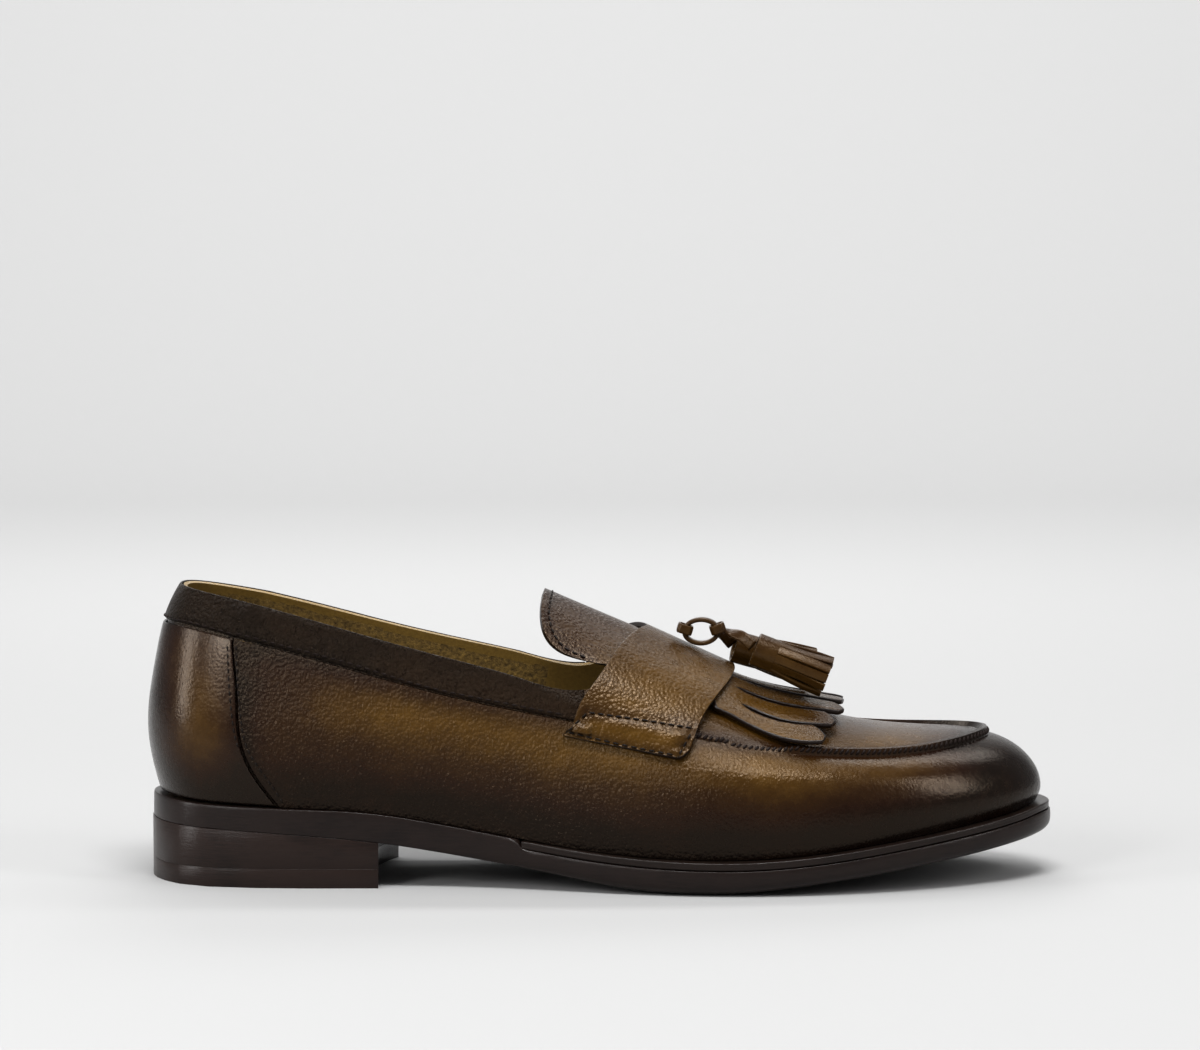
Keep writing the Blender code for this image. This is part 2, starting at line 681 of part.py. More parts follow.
def tongue_point(share, back):
    """Outer point of the tongue: share -1 to 1 across it, back 0 at the strap and 1 at its free edge."""
    q = math.copysign(TONGUE_ROW, share if share else 1.0)
    start = over_last(q, 4.0 - TONGUE_REACH * abs(share), TONGUE_LIFT + TONGUE_THICK, True)
    x, y, z = (steady(TONGUE, TONGUE_COLUMNS, "share", n, abs(share)) for n in ("x", "y", "z"))
    return start + (np.array([x, y * (1.0 if share > 0 else -1.0), z]) - start) * back


def build_tongue(look):
    """Tongue that rises from under the strap and stands over the front of the mouth."""
    sheet = []
    shares = np.linspace(-1.0, 1.0, 17)
    for back in (1.0, 0.94, 0.6, 0.3):
        row = []
        for s in shares:
            p = tongue_point(s, back)
            n = toward(p, tongue_point(s, back - 0.1), tongue_point(s - math.copysign(0.02, s), back))
            row.append((p, p - n * math.copysign(TONGUE_THICK, n[2])))
        sheet.append(row)
    for row_number in (TONGUE_ROW, 8.8, 9.3, 9.7):
        row = []
        for s in shares:
            q = math.copysign(row_number, s if s else 1.0)
            level = 4.0 - TONGUE_REACH * abs(s)
            row.append([over_last(q, level, h, True) for h in (TONGUE_LIFT + TONGUE_THICK, TONGUE_LIFT)])
        sheet.append(row)
    return walled("tongue", [sheet], look)


def build_strap(look):
    """Saddle strap across the instep, its ends on the quarters."""
    sheet = []
    levels = [(-1, v) for v in column(STRAP, STRAP_COLUMNS, "level")]
    levels += [(1, v) for v in column(STRAP, STRAP_COLUMNS, "level")[-2::-1]]
    for side, level in levels:
        rear, front, lift = (steady(STRAP, STRAP_COLUMNS, "level", n, level) for n in STRAP_COLUMNS[1:])
        row = []
        for c in np.linspace(0.0, 1.0, 8):
            q = side * (rear + (front - rear) * c)
            row.append((over_last(q, level, lift + STRAP_THICK, True), over_last(q, level, lift, True)))
        sheet.append(row)
    return walled("saddle_strap", [sheet], look)


def kiltie_pair(across, level, row, lift):
    """Outer and inner point of the kiltie, moved a little across it."""
    spread = 4.0 - (4.0 - level) * (0.68 + 0.32 * smooth(9.9, 11.8, row))
    side = -1.0 if across < 0 else 1.0
    return (over_last(side * row, spread, lift + KILTIE_THICK), over_last(side * row, spread, lift))


def build_kiltie(look):
    """Fringed flap that comes out from under the strap and lies over the vamp."""
    sheets = []
    for low, high, tip, lift in STRIPS:
        sheet = []
        rows = [KILTIE_ROW, 10.25, KILTIE_SLIT_ROW]
        rows += [KILTIE_SLIT_ROW + (tip - KILTIE_SLIT_ROW) * part for part in STRIP_CUTS]
        for row_number in rows:
            free = smooth(KILTIE_SLIT_ROW, tip, row_number)
            gap = SLIT if row_number > KILTIE_SLIT_ROW else 0.0
            row = []
            for place in (0.0, 0.33, 0.67, 1.0):
                across = low + gap + (high - low - 2.0 * gap) * place
                point = row_number - (0.16 if row_number == tip and place in (0.0, 1.0) else 0.0)
                row.append(kiltie_pair(across, 4.0 - abs(across), point, 0.45 + lift * free ** 1.2))
            sheet.append(row)
        sheets.append(sheet)
    return walled("kiltie", sheets, look)


def sweep(path, wide_way, wide, thick, closed=False):
    """Sections of a flat thong along a path, wide in one direction and rounded at its edges."""
    sections = []
    n = len(path)
    for i, p in enumerate(path):
        before = path[i - 1] if closed or i else p
        after = path[(i + 1) % n] if closed or i < n - 1 else p
        along = (after - before) / np.linalg.norm(after - before)
        side = wide_way - along * np.dot(wide_way, along)
        side = side / np.linalg.norm(side)
        up = np.cross(along, side)
        ring = []
        for a, b in THONG:
            ring.append(p + side * wide * a + up * thick * b)
        sections.append(ring)
    if closed:
        sections.append(sections[0])
    return sections


def smooth_path(points, count):
    """Points evenly along a fair curve through the given ones."""
    p = np.array(points, float)
    knots = np.concatenate([[0.0], np.cumsum(np.linalg.norm(np.diff(p, axis=0), axis=1))])
    curve = fair_curve(knots, p)
    return [curve(v) for v in np.linspace(0.0, knots[-1], count)]


def build_bow(look):
    """Flat lace on the strap: a ring with a knot band at each end and a tail to each tassel."""
    centre = np.array(BOW_CENTRE)
    across = np.array([0.0, 1.0, 0.0])

    def ring_point(angle):
        return centre + np.array([BOW_RADIUS_X * math.cos(angle), 0.0, BOW_RADIUS_Z * math.sin(angle)])

    ring = [ring_point(2.0 * math.pi * k / 20) for k in range(20)]
    lofted("lace_ring", sweep(ring, across, LACE_WIDE, LACE_THICK, closed=True), look)
    for name, degrees in BAND_ANGLES:
        angle = math.radians(degrees)
        along = ring_point(angle + 0.01) - ring_point(angle - 0.01)
        along /= np.linalg.norm(along)
        out = np.cross(across, along)
        half_y = LACE_WIDE / 2 + GAP + BAND_THICK / 2
        half_x = LACE_THICK / 2 + GAP + BAND_THICK / 2 + 0.6
        loop = []
        for a, b in ((1, 0.7), (0.8, 1), (-0.8, 1), (-1, 0.7), (-1, -0.7), (-0.8, -1), (0.8, -1), (1, -0.7)):
            loop.append(ring_point(angle) + across * half_y * a * 1.06 + out * half_x * b)
        lofted(name, sweep(loop, along, BAND_TALL, BAND_THICK, closed=True), look)
    for name, points in TAILS:
        path = smooth_path(points, 8)
        lofted(name, sweep(path, across, LACE_WIDE, LACE_THICK), look, cap_first=True, cap_last=True)


def build_tassel(row, look):
    """Tassel: a rolled cap with a skirt of flat strips."""
    value = dict(zip(TASSEL_COLUMNS, row))
    start = np.array([value["x_cap"], value["y_cap"], value["z_cap"]])
    end = np.array([value["x_tip"], value["y_tip"], value["z_tip"]])
    length = float(np.linalg.norm(end - start))
    along = (end - start) / length
    side = np.cross(along, [0.0, 0.0, 1.0])
    side /= np.linalg.norm(side)
    up = np.cross(side, along)
    n = 3 * TASSEL_STRIPS
    cap = TASSEL_CAP / length
    sections = []
    profile = [(0.0, 0.45, 0.0), (0.0, 0.86, 0.0), (0.06, 1.0, 0.0), (cap - 0.04, 0.98, 0.0)]
    profile += [(cap, 0.84, 0.0), (cap + 0.02, 0.86, 0.5), (0.62, 1.0, 1.0), (0.86, 1.1, 1.0)]
    profile += [(1.0, 1.16, 1.0), (1.0, 0.5, 1.0)]
    for place, wide, fluted in profile:
        ring = []
        for k in range(n):
            angle = 2.0 * math.pi * k / n
            dip = fluted * (0.2 if k % 3 == 0 else 0.0)
            strip = k // 3
            tip = fluted * smooth(0.7, 1.0, place) * (0.05 * math.sin(2.1 * strip) - 0.03 * (k % 3 == 0))
            r = value["radius"] * wide * (1.0 - dip)
            spoke = side * math.cos(angle) + up * math.sin(angle)
            ring.append(start + along * (place + tip) * length + spoke * r)
        sections.append(ring)
    middle = [start + along * (sections[-1][0] - start).dot(along) for _ in range(n)]
    sections.append(middle)
    sections.insert(0, [start for _ in range(n)])
    return lofted(value["name"], sections, look)


def main():
    for item in list(bpy.data.objects):
        bpy.data.objects.remove(item, do_unlink=True)
    calf = material("burnished_calf", (0.12, 0.065, 0.028), 0.42)
    edge = material("dressed_sole_edge", (0.055, 0.035, 0.024), 0.45)
    lining = material("ochre_lining", (0.32, 0.22, 0.07), 0.6)
    build_outsole(edge)
    build_welt(edge)
    build_insole(lining)
    heel_body("heel_stack", lambda x: TOP_PIECE_THICK + GAP, lambda x: underside_z(x) - GAP, edge)
    heel_body("heel_top_piece", lambda x: 0.0, lambda x: TOP_PIECE_THICK, edge)
    build_upper(calf)
    build_collar_band(calf)
    build_counter(calf)
    build_tongue(calf)
    build_strap(calf)
    build_kiltie(calf)
    build_bow(calf)
    for row in TASSELS:
        build_tassel(row, calf)


main()
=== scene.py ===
import bmesh
import bpy
import json
import math
import numpy as np
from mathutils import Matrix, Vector
from mathutils.bvhtree import BVHTree
from mathutils.kdtree import KDTree

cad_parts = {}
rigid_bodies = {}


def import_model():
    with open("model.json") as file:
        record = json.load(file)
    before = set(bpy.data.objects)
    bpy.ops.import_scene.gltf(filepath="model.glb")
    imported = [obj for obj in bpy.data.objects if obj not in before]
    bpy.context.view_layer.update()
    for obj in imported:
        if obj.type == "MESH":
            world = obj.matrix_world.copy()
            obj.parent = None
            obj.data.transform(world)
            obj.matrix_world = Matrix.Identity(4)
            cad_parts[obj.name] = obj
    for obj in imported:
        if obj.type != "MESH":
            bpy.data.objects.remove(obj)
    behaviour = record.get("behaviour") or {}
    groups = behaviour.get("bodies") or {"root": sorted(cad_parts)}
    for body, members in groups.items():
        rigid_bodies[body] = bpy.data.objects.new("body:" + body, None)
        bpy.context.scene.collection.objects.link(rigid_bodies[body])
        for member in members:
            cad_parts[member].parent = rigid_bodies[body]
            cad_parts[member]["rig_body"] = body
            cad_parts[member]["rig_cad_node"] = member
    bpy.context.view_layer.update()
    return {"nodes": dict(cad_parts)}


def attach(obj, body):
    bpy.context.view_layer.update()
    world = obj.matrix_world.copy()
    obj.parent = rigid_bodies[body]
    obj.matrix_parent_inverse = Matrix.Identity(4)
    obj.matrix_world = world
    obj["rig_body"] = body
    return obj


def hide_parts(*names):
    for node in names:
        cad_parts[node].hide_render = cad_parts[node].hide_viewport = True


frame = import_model()

# Sizes are in millimetres from the back of the heel: x to the toe, y to the inner side, z up.
MM = 0.001
# The frame's own origin lies under the seat, this far in front of the heel's back.
HEEL_REST_X = 36.0
# Camera: distance from the shoe's middle line, place along it, height, and how far it looks down in radians.
CAMERA_BACK = 1300.0
CAMERA_X = 149.6
CAMERA_Z = 215.0
CAMERA_DIP = 0.07551
CAMERA_SENSOR = 36.0
PHOTO_WIDE = 1200
LENS_PIXELS = 3909.2
# The photograph is printed a little deeper in its middle tones.
PRINT_GAMMA = 0.85
# Lock stitch: its length, the step from one to the next, and the thread's thickness.
STITCH_LONG = 2.1
STITCH_PITCH = 2.9
THREAD = 0.62
# A line of stitches starts this far off the skin, and is then laid on it.
STAND_OFF = 3.0
# The middle line of the foot, from which off_axis moves points away: from x to x, and y.
FOOT_AXIS = (42.0, 250.0, 2.0)
# Pitch of the points along a seam that is only followed, and of those along the moccasin seam.
SEAM_PITCH = 2.0
MOCCASIN_PITCH = 0.95

# Seam line: the band's lower seam behind the strap, the moccasin seam in front of it.
SEAM = (
    # x, y outer, y inner, z outer, z inner
    (4.2, 0.0, 0.0, 85.6, 85.6),
    (7.8, -14.2, 14.2, 85.7, 85.7),
    (17.0, -22.4, 22.4, 84.6, 84.8),
    (30.0, -27.4, 27.2, 81.6, 82.2),
    (64.0, -30.6, 29.8, 73.0, 74.6),
    (93.0, -33.0, 30.6, 64.6, 67.0),
    (117.0, -35.4, 32.0, 59.8, 62.6),
    (139.0, -38.2, 34.8, 55.8, 58.8),
    (156.0, -39.6, 37.4, 53.2, 56.0),
    (173.0, -39.9, 39.2, 50.6, 53.2),
    (190.0, -39.2, 39.6, 48.2, 50.8),
    (206.0, -37.4, 38.8, 46.0, 48.6),
    (223.0, -34.2, 36.6, 44.4, 46.8),
    (240.0, -29.6, 32.6, 43.4, 45.4),
    (256.0, -22.8, 27.0, 43.9, 45.6),
    (269.0, -13.6, 19.6, 45.4, 46.4),
    (276.6, -4.6, 12.4, 46.6, 46.9),
    (279.0, 4.0, 4.0, 47.0, 47.0),
)
# Lines on the outer side, seen square from the side: x and z.
COUNTER_LINE = (
    (29.6, 79.5),
    (30.2, 67.7),
    (31.4, 55.8),
    (33.0, 47.6),
    (36.4, 41.0),
    (41.5, 33.6),
    (45.2, 27.6),
)
# Box of stitches at the strap's end, round from its upper rear corner.
STRAP_BOX = (
    (145.6, 58.8),
    (138.9, 52.5),
    (157.0, 48.6),
    (175.0, 45.3),
    (179.8, 53.6),
    (163.0, 56.4),
    (145.6, 58.8),
)
# Lower end of the strap as cut, and how far it is pulled down over the quarter: x, z, pull.
STRAP_END = ((137.0, 53.6, 2.4), (156.0, 50.6, 3.4), (175.4, 48.2, 4.7), (182.0, 47.6, 4.9))
# The pull fades out this far above the end, and the front corner also leans to the heel.
STRAP_END_REACH = 9.5
STRAP_END_LEAN = (174.0, 181.0, 0.55)
# Moccasin seam from under the strap to where the apron's step takes it over: x, y outer, z outer.
SEAM_START = (
    (176.0, -40.0, 53.2),
    (183.0, -39.4, 51.6),
    (191.0, -38.4, 49.7),
    (199.0, -37.6, 47.9),
    (207.0, -36.6, 46.5),
)
# So many of the seam's points at each end stand on a pressed ridge. The apron's step makes the rest.
RIDGE_POINTS = 18
# The strap and the seam sit this much higher on the inner side.
INNER_LIFT = 2.5
# Free edge of the tongue from its top to the strap: x, y, z on the inner side, and mirrored on the outer.
TONGUE_EDGE = (
    (131.3, 0.0, 95.8),
    (130.6, 9.0, 93.0),
    (130.0, 16.0, 88.6),
    (131.2, 21.4, 83.4),
    (134.8, 25.0, 78.4),
    (142.0, 26.4, 74.6),
)
# Upper face of the outsole from heel to toe, as the painted shade on the quarter follows it: x, z.
SOLE_LINE = (
    (0, 28),
    (70, 25),
    (95, 22),
    (118, 18),
    (138, 14),
    (175, 11),
    (211, 12),
    (250, 17),
    (283, 22),
    (297, 25),
)
# The same face where the welt is glued down: x, z.
WELT_SEAT = (
    (118, 17.5),
    (138, 14.3),
    (156, 12.3),
    (175, 11.2),
    (193, 11.0),
    (211, 12.0),
    (230, 14.0),
    (250, 16.8),
    (268, 19.4),
    (283, 21.7),
    (302, 25.2),
)
# Glued faces are set this far into each other, and the welt's end goes further into the waist.
GLUE = 0.27
WELT_END_REACH = 3.5
WELT_END_PUSH = 0.5
# Middle line of the shoe's inside, seen from above: x, y. Edge of the mouth, seen from the side: x, z.
INSIDE_LINE = ((0, 0.0), (120, 0.5), (200, 1.2), (300, 4.0))
MOUTH_LINE = ((0, 98), (36, 92.5), (65, 84.8), (93, 77.2), (121, 70.6), (163, 63.0))
# The suede strip: from and to this depth below the mouth, and how far it reaches to the front.
SUEDE_TOP = 2.8
SUEDE_LOW = 34.0
SUEDE_FRONT = 131.0
# Lace from the outer tassel to the inner one, once round the ring.
LACE_RING = (183.4, -2.5, 81.3)
LACE_RING_X = 5.6
LACE_RING_Z = 4.0
LACE_WIDE = 3.8
LACE_THICK = 1.5
TAIL_OUTER = ((200.3, -8.3, 76.9), (197.0, -6.6, 79.8), (192.9, -3.6, 81.0))
TAIL_INNER = ((189.6, 3.2, 80.6), (191.4, 6.0, 79.0), (193.9, 8.4, 75.9))
# Tassels: middle of the cap's upper end, middle of the skirt's tips, radius of the cap.
TASSELS = (
    ("tassel_near", (201.0, -8.5, 76.2), (225.4, -9.6, 66.6), 5.6),
    ("tassel_far", (194.6, 8.6, 75.2), (221.4, 10.6, 67.6), 5.4),
)
# Cap: its length, the points round it, and the overlap of its roll.
TASSEL_CAP = 9.0
TASSEL_TURNS = 44
TASSEL_LAP = 0.55
# Skirt: strips in its outer and its inner layer, and their thickness.
TASSEL_STRIPS = 11
TASSEL_INNER_STRIPS = 7
STRIP_THICK = 1.15

# Creases: side, from x z, to x z, depth, width.
BAND_CREASES = (
    (-1, 24.0, 93.0, 27.5, 86.0, 0.22, 1.6),
    (-1, 37.0, 90.0, 33.5, 83.0, 0.30, 1.7),
    (-1, 44.0, 88.0, 41.0, 81.0, 0.30, 1.6),
    (-1, 49.0, 86.5, 52.5, 78.5, 0.34, 1.8),
    (-1, 58.0, 84.0, 54.5, 77.0, 0.30, 1.5),
    (-1, 64.0, 82.5, 66.0, 75.0, 0.36, 1.8),
    (-1, 72.0, 80.5, 70.0, 73.0, 0.30, 1.6),
    (-1, 78.0, 78.5, 80.5, 71.5, 0.34, 1.7),
    (-1, 87.0, 76.0, 84.0, 69.0, 0.30, 1.6),
    (-1, 92.0, 74.5, 94.0, 67.5, 0.32, 1.7),
    (-1, 101.0, 72.5, 98.5, 66.0, 0.30, 1.6),
    (-1, 107.0, 71.0, 109.0, 64.0, 0.30, 1.7),
    (-1, 117.0, 69.0, 114.0, 62.5, 0.26, 1.6),
    (-1, 126.0, 67.0, 128.0, 61.0, 0.24, 1.8),
    (1, 34.0, 91.0, 37.0, 84.0, 0.30, 1.7),
    (1, 50.0, 87.0, 47.0, 79.5, 0.32, 1.7),
    (1, 62.0, 83.5, 65.0, 76.0, 0.34, 1.8),
    (1, 76.0, 80.0, 73.0, 73.0, 0.30, 1.6),
    (1, 88.0, 77.0, 91.0, 70.0, 0.32, 1.7),
    (1, 103.0, 73.5, 100.0, 67.0, 0.28, 1.7),
    (1, 118.0, 71.0, 120.0, 64.0, 0.26, 1.7),
)
QUARTER_CREASES = (
    (-1, 38.0, 76.0, 52.0, 58.0, 0.16, 2.6),
    (-1, 56.0, 70.0, 78.0, 50.0, 0.20, 2.8),
    (-1, 74.0, 67.0, 104.0, 46.0, 0.24, 3.0),
    (-1, 90.0, 63.0, 118.0, 44.0, 0.22, 2.8),
    (-1, 108.0, 59.0, 130.0, 42.0, 0.18, 2.8),
    (-1, 44.0, 50.0, 70.0, 33.0, 0.20, 3.0),
    (-1, 48.0, 44.0, 62.0, 30.0, 0.22, 2.2),
    (-1, 53.0, 43.0, 68.0, 28.5, 0.20, 2.2),
    (-1, 58.0, 42.0, 76.0, 28.0, 0.20, 2.4),
    (1, 60.0, 72.0, 88.0, 50.0, 0.20, 3.0),
    (1, 84.0, 66.0, 116.0, 44.0, 0.22, 3.0),
    (1, 46.0, 50.0, 72.0, 32.0, 0.20, 3.0),
    (1, 104.0, 60.0, 130.0, 42.0, 0.20, 2.8),
)
# Hand-rubbed patina with painted highlights and painted shade: x, z, reach in x, reach in z, strength. Light
# spots are over 0 and dark ones under.
PATINA_AND_PAINTED_LIGHT = (
    # The light spots are partly the stain's lighter middle and partly painted highlights.
    (84.0, 59.0, 34.0, 13.0, 0.50),
    (128.0, 50.0, 34.0, 12.0, 0.36),
    (160.0, 44.0, 34.0, 12.0, 0.30),
    # Painted highlight along the vamp's side.
    (208.0, 42.0, 38.0, 12.0, 0.42),
    (246.0, 44.0, 22.0, 10.0, 0.34),
    # Painted highlight down the counter.
    (18.0, 58.0, 9.0, 24.0, 0.30),
    # Painted highlight on the strap.
    (165.0, 70.0, 26.0, 16.0, 0.34),
    (205.0, 62.0, 30.0, 14.0, 0.34),
    (-2.0, 60.0, 8.0, 50.0, -0.40),
    (33.0, 56.0, 5.0, 30.0, -0.34),
    (298.0, 36.0, 22.0, 22.0, -0.55),
    (282.0, 46.0, 12.0, 8.0, -0.25),
    # Painted shade on the apron's top.
    (248.0, 53.0, 34.0, 5.0, -0.22),
)
# Painted shade on the upper, darker towards the sole: strength, and how high it climbs on the upper.
PAINTED_SOLE_SHADE = 0.48
PAINTED_SOLE_SHADE_HIGH = 19.0
# Studio lights: name, place and aim in metres, width, height, watts.
SOFTBOXES = (
    ("top_softbox", (0.16, -0.62, 1.4), (0.11, 0.0, 0.05), 0.7, 0.34, 20.0),
    ("high_softbox", (0.35, 0.1, 1.5), (0.15, 0.0, 0.06), 0.6, 0.3, 3.0),
    ("left_key", (-0.65, -1.0, 0.62), (0.03, 0.0, 0.05), 0.4, 0.4, 6.5),
    ("left_strip", (-1.1, -0.42, 0.42), (0.0, 0.0, 0.05), 0.26, 0.7, 6.0),
    ("rear_softbox", (0.0, 1.1, 0.9), (0.1, 0.0, 0.05), 0.6, 0.4, 4.0),
    ("right_strip", (1.2, -0.55, 0.7), (0.22, 0.0, 0.04), 0.16, 0.7, 5.5),
    ("sweep_light", (0.1, 1.3, 2.4), (0.1, 2.9, 0.8), 4.0, 1.2, 120.0),
)
WORLD_LIGHT = 0.38
# Grey paper under strong light prints nearly white, and throws little light back on the dark leather.
PAPER_GREY = 0.41
# Paper: length, depth and height in metres, and the radius of its bend behind the shoe.
PAPER_SIZE = (8.0, 6.0, 5.0)
PAPER_BEND = 1.2


def place(x, y, z):
    """World point of a point in the shoe's millimetres."""
    return Vector(((x - HEEL_REST_X) * MM, y * MM, z * MM))


def only(piece):
    """Select this piece alone and make it the active one."""
    bpy.ops.object.select_all(action="DESELECT")
    piece.select_set(True)
    bpy.context.view_layer.objects.active = piece


def colour(text):
    """Linear colour of an sRGB hex value."""
    parts = [int(text[i : i + 2], 16) / 255 for i in (0, 2, 4)]
    return tuple(c / 12.92 if c <= 0.04045 else ((c + 0.055) / 1.055) ** 2.4 for c in parts) + (1.0,)


def soft_step(a, b, v):
    """Soft step from 0 at a to 1 at b, for numbers or arrays."""
    s = np.clip((v - a) / (b - a), 0.0, 1.0)
    return s * s * (3.0 - 2.0 * s)


def read_line(line, at):
    """Second value of a line of pairs where the first is at, for numbers or arrays."""
    return np.interp(at, *zip(*line))


def search_tree(points):
    """Tree that finds the nearest of the points."""
    tree = KDTree(len(points))
    for i, p in enumerate(points):
        tree.insert(p, i)
    tree.balance()
    return tree


# Shapes


def from_cad(node, name):
    """A merged copy of a solid in quads, which stands for it."""
    piece = frame["nodes"][node].copy()
    piece.data = piece.data.copy()
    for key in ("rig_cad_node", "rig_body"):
        if key in piece:
            del piece[key]
    piece.parent = None
    piece.name = piece.data.name = name
    bpy.context.collection.objects.link(piece)
    piece.data.materials.clear()
    only(piece)
    bpy.ops.object.mode_set(mode="EDIT")
    bpy.ops.mesh.select_all(action="SELECT")
    bpy.ops.mesh.remove_doubles(threshold=0.00002)
    bpy.ops.mesh.tris_convert_to_quads(face_threshold=math.radians(60), shape_threshold=math.radians(70))
    bpy.ops.mesh.normals_make_consistent(inside=False)
    bpy.ops.object.mode_set(mode="OBJECT")
    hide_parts(node)
    return piece


def apply_all(piece):
    """Apply the modifiers of a piece."""
    only(piece)
    for modifier in list(piece.modifiers):
        bpy.ops.object.modifier_apply(modifier=modifier.name)


def mark_rim(piece):
    """Second material on the cut edge: the quads between two sharp edges that don't touch."""
    body = bmesh.new()
    body.from_mesh(piece.data)
    for face in body.faces:
        sharp = [e for e in face.edges if len(e.link_faces) == 2 and e.calc_face_angle(0.0) > 0.75]
        for i, a in enumerate(sharp):
            if any(not set(a.verts) & set(b.verts) for b in sharp[i + 1 :]):
                face.material_index = 1
    body.to_mesh(piece.data)
    body.free()


def rounded(piece, width, levels, angle=38.0, segments=2):
    """Soften the sharp edges and make the surface smooth."""
    bevel = piece.modifiers.new("edge", "BEVEL")
    bevel.limit_method = "ANGLE"
    bevel.angle_limit = math.radians(angle)
    bevel.width = width * MM
    bevel.segments = segments
    bevel.use_clamp_overlap = True
    if levels:
        smooth = piece.modifiers.new("smooth", "SUBSURF")
        smooth.levels = smooth.render_levels = levels
    apply_all(piece)
    bpy.ops.object.shade_smooth()
    return piece


def points_of(piece):
    """Vertices in the shoe's millimetres and their normals."""
    n = len(piece.data.vertices)
    co = np.empty(n * 3)
    normal = np.empty(n * 3)
    piece.data.vertices.foreach_get("co", co)
    piece.data.vertices.foreach_get("normal", normal)
    co = co.reshape(-1, 3) / MM
    co[:, 0] += HEEL_REST_X
    return co, normal.reshape(-1, 3)


def set_points(piece, co):
    """Put the vertices back."""
    moved = co.copy()
    moved[:, 0] -= HEEL_REST_X
    piece.data.vertices.foreach_set("co", (moved * MM).ravel())
    piece.data.update()


def press_creases(piece, creases):
    """Soft bowed troughs, each with a lower ridge beside it, seen square from the side."""
    bow_share, ridge_share, ridge_off, run_out = 0.08, 0.55, 1.7, 1.5
    co, normal = points_of(piece)
    for side, x0, z0, x1, z1, depth, width in creases:
        facing = (normal[:, 1] * side > 0.15) & (co[:, 1] * side > 8.0)
        way = np.array([x1 - x0, z1 - z0])
        length = float(np.hypot(*way))
        way /= length
        from_start = co[:, [0, 2]] - np.array([x0, z0])
        along = from_start @ way
        bow = bow_share * length * np.sin(np.pi * np.clip(along / length, 0.0, 1.0))
        across = from_start @ np.array([-way[1], way[0]]) - bow
        fade = soft_step(-run_out, length * 0.3, along)
        fade = fade * (1.0 - soft_step(length * 0.7, length + run_out, along))
        ridge = ridge_share * np.exp(-(((across - ridge_off * width) / width) ** 2))
        trough = np.exp(-((across / width) ** 2)) - ridge
        co -= normal * (facing * depth * fade * trough)[:, None]
    set_points(piece, co)


def press_line(piece, line, depth, width):
    """Groove along a line that lies on the piece, or a ridge where the depth is under 0."""
    tree = search_tree([point for point, _ in line])
    co, normal = points_of(piece)
    for i, p in enumerate(co):
        _, index, distance = tree.find(Vector(p))
        if distance < 3 * width and Vector(normal[i]).dot(line[index][1]) > 0.3:
            co[i] -= normal[i] * depth * math.exp(-((distance / width) ** 2))
    set_points(piece, co)


def skin(piece):
    """Tree of the piece's faces in the shoe's millimetres."""
    co, _ = points_of(piece)
    return BVHTree.FromPolygons([Vector(p) for p in co], [tuple(f.vertices) for f in piece.data.polygons])


def even(points, pitch):
    """Points evenly spaced along a smooth curve through the given ones."""
    p = [Vector(q) for q in points]
    p = [p[0] * 2 - p[1]] + p + [p[-1] * 2 - p[-2]]
    fine = []
    for a, b, c, d in zip(p, p[1:], p[2:], p[3:]):
        for k in range(40):
            t = k / 40
            bend = a * 2 - b * 5 + c * 4 - d
            turn = b * 3 - a - c * 3 + d
            fine.append((b * 2 + (c - a) * t + bend * t * t + turn * t**3) / 2)
    fine.append(p[-2])
    reach = [0.0]
    for a, b in zip(fine, fine[1:]):
        reach.append(reach[-1] + (b - a).length)
    count = max(int(round(reach[-1] / pitch)), 1)
    out = []
    j = 0
    for k in range(count + 1):
        want = reach[-1] * k / count
        while j < len(reach) - 2 and reach[j + 1] < want:
            j += 1
        t = (want - reach[j]) / max(reach[j + 1] - reach[j], 1e-9)
        out.append(fine[j].lerp(fine[j + 1], min(max(t, 0.0), 1.0)))
    return out


def onto(tree, points, side=0):
    """Points with normals on a piece: shot square from the side, or the nearest where side is 0."""
    out = []
    for p in points:
        if side:
            hit, normal, _, _ = tree.ray_cast(Vector((p[0], side * 90.0, p[-1])), Vector((0, -side, 0)))
        else:
            hit, normal, _, _ = tree.find_nearest(Vector(p))
        if hit is not None:
            if side and normal.y * side < 0:
                normal = -normal
            out.append((hit, normal))
    return out


def off_axis(points, along=0.0, up=0.0):
    """Points moved away from the middle line of the foot, so that the nearest skin is the outer one."""
    rear, front, axis_y = FOOT_AXIS
    out = []
    for p in points:
        middle = Vector((min(max(p.x, rear), front), axis_y, p.z))
        away = (p - middle).normalized()
        out.append(p + (away + Vector((along, 0.0, up))).normalized() * STAND_OFF)
    return out


def side_line(tree, flat, side, pitch, lift=0.0):
    """Line drawn as x and z, laid on a piece from the side."""
    curve = even([(x, 0.0, z + lift) for x, z in flat], pitch)
    return onto(tree, [(p.x, p.z) for p in curve], side)


def joined(name, shapes, look, smooth=True):
    """One mesh from many (points, faces)."""
    points, faces, start = [], [], 0
    for p, f in shapes:
        points.append(p)
        faces += [[i + start for i in ring] for ring in f]
        start += len(p)
    mesh = bpy.data.meshes.new(name)
    co = np.concatenate(points)
    co = co - np.array([HEEL_REST_X, 0.0, 0.0])
    mesh.from_pydata((co * MM).tolist(), [], faces)
    piece = bpy.data.objects.new(name, mesh)
    bpy.context.collection.objects.link(piece)
    mesh.materials.append(look)
    only(piece)
    if smooth:
        bpy.ops.object.shade_smooth()
    return piece


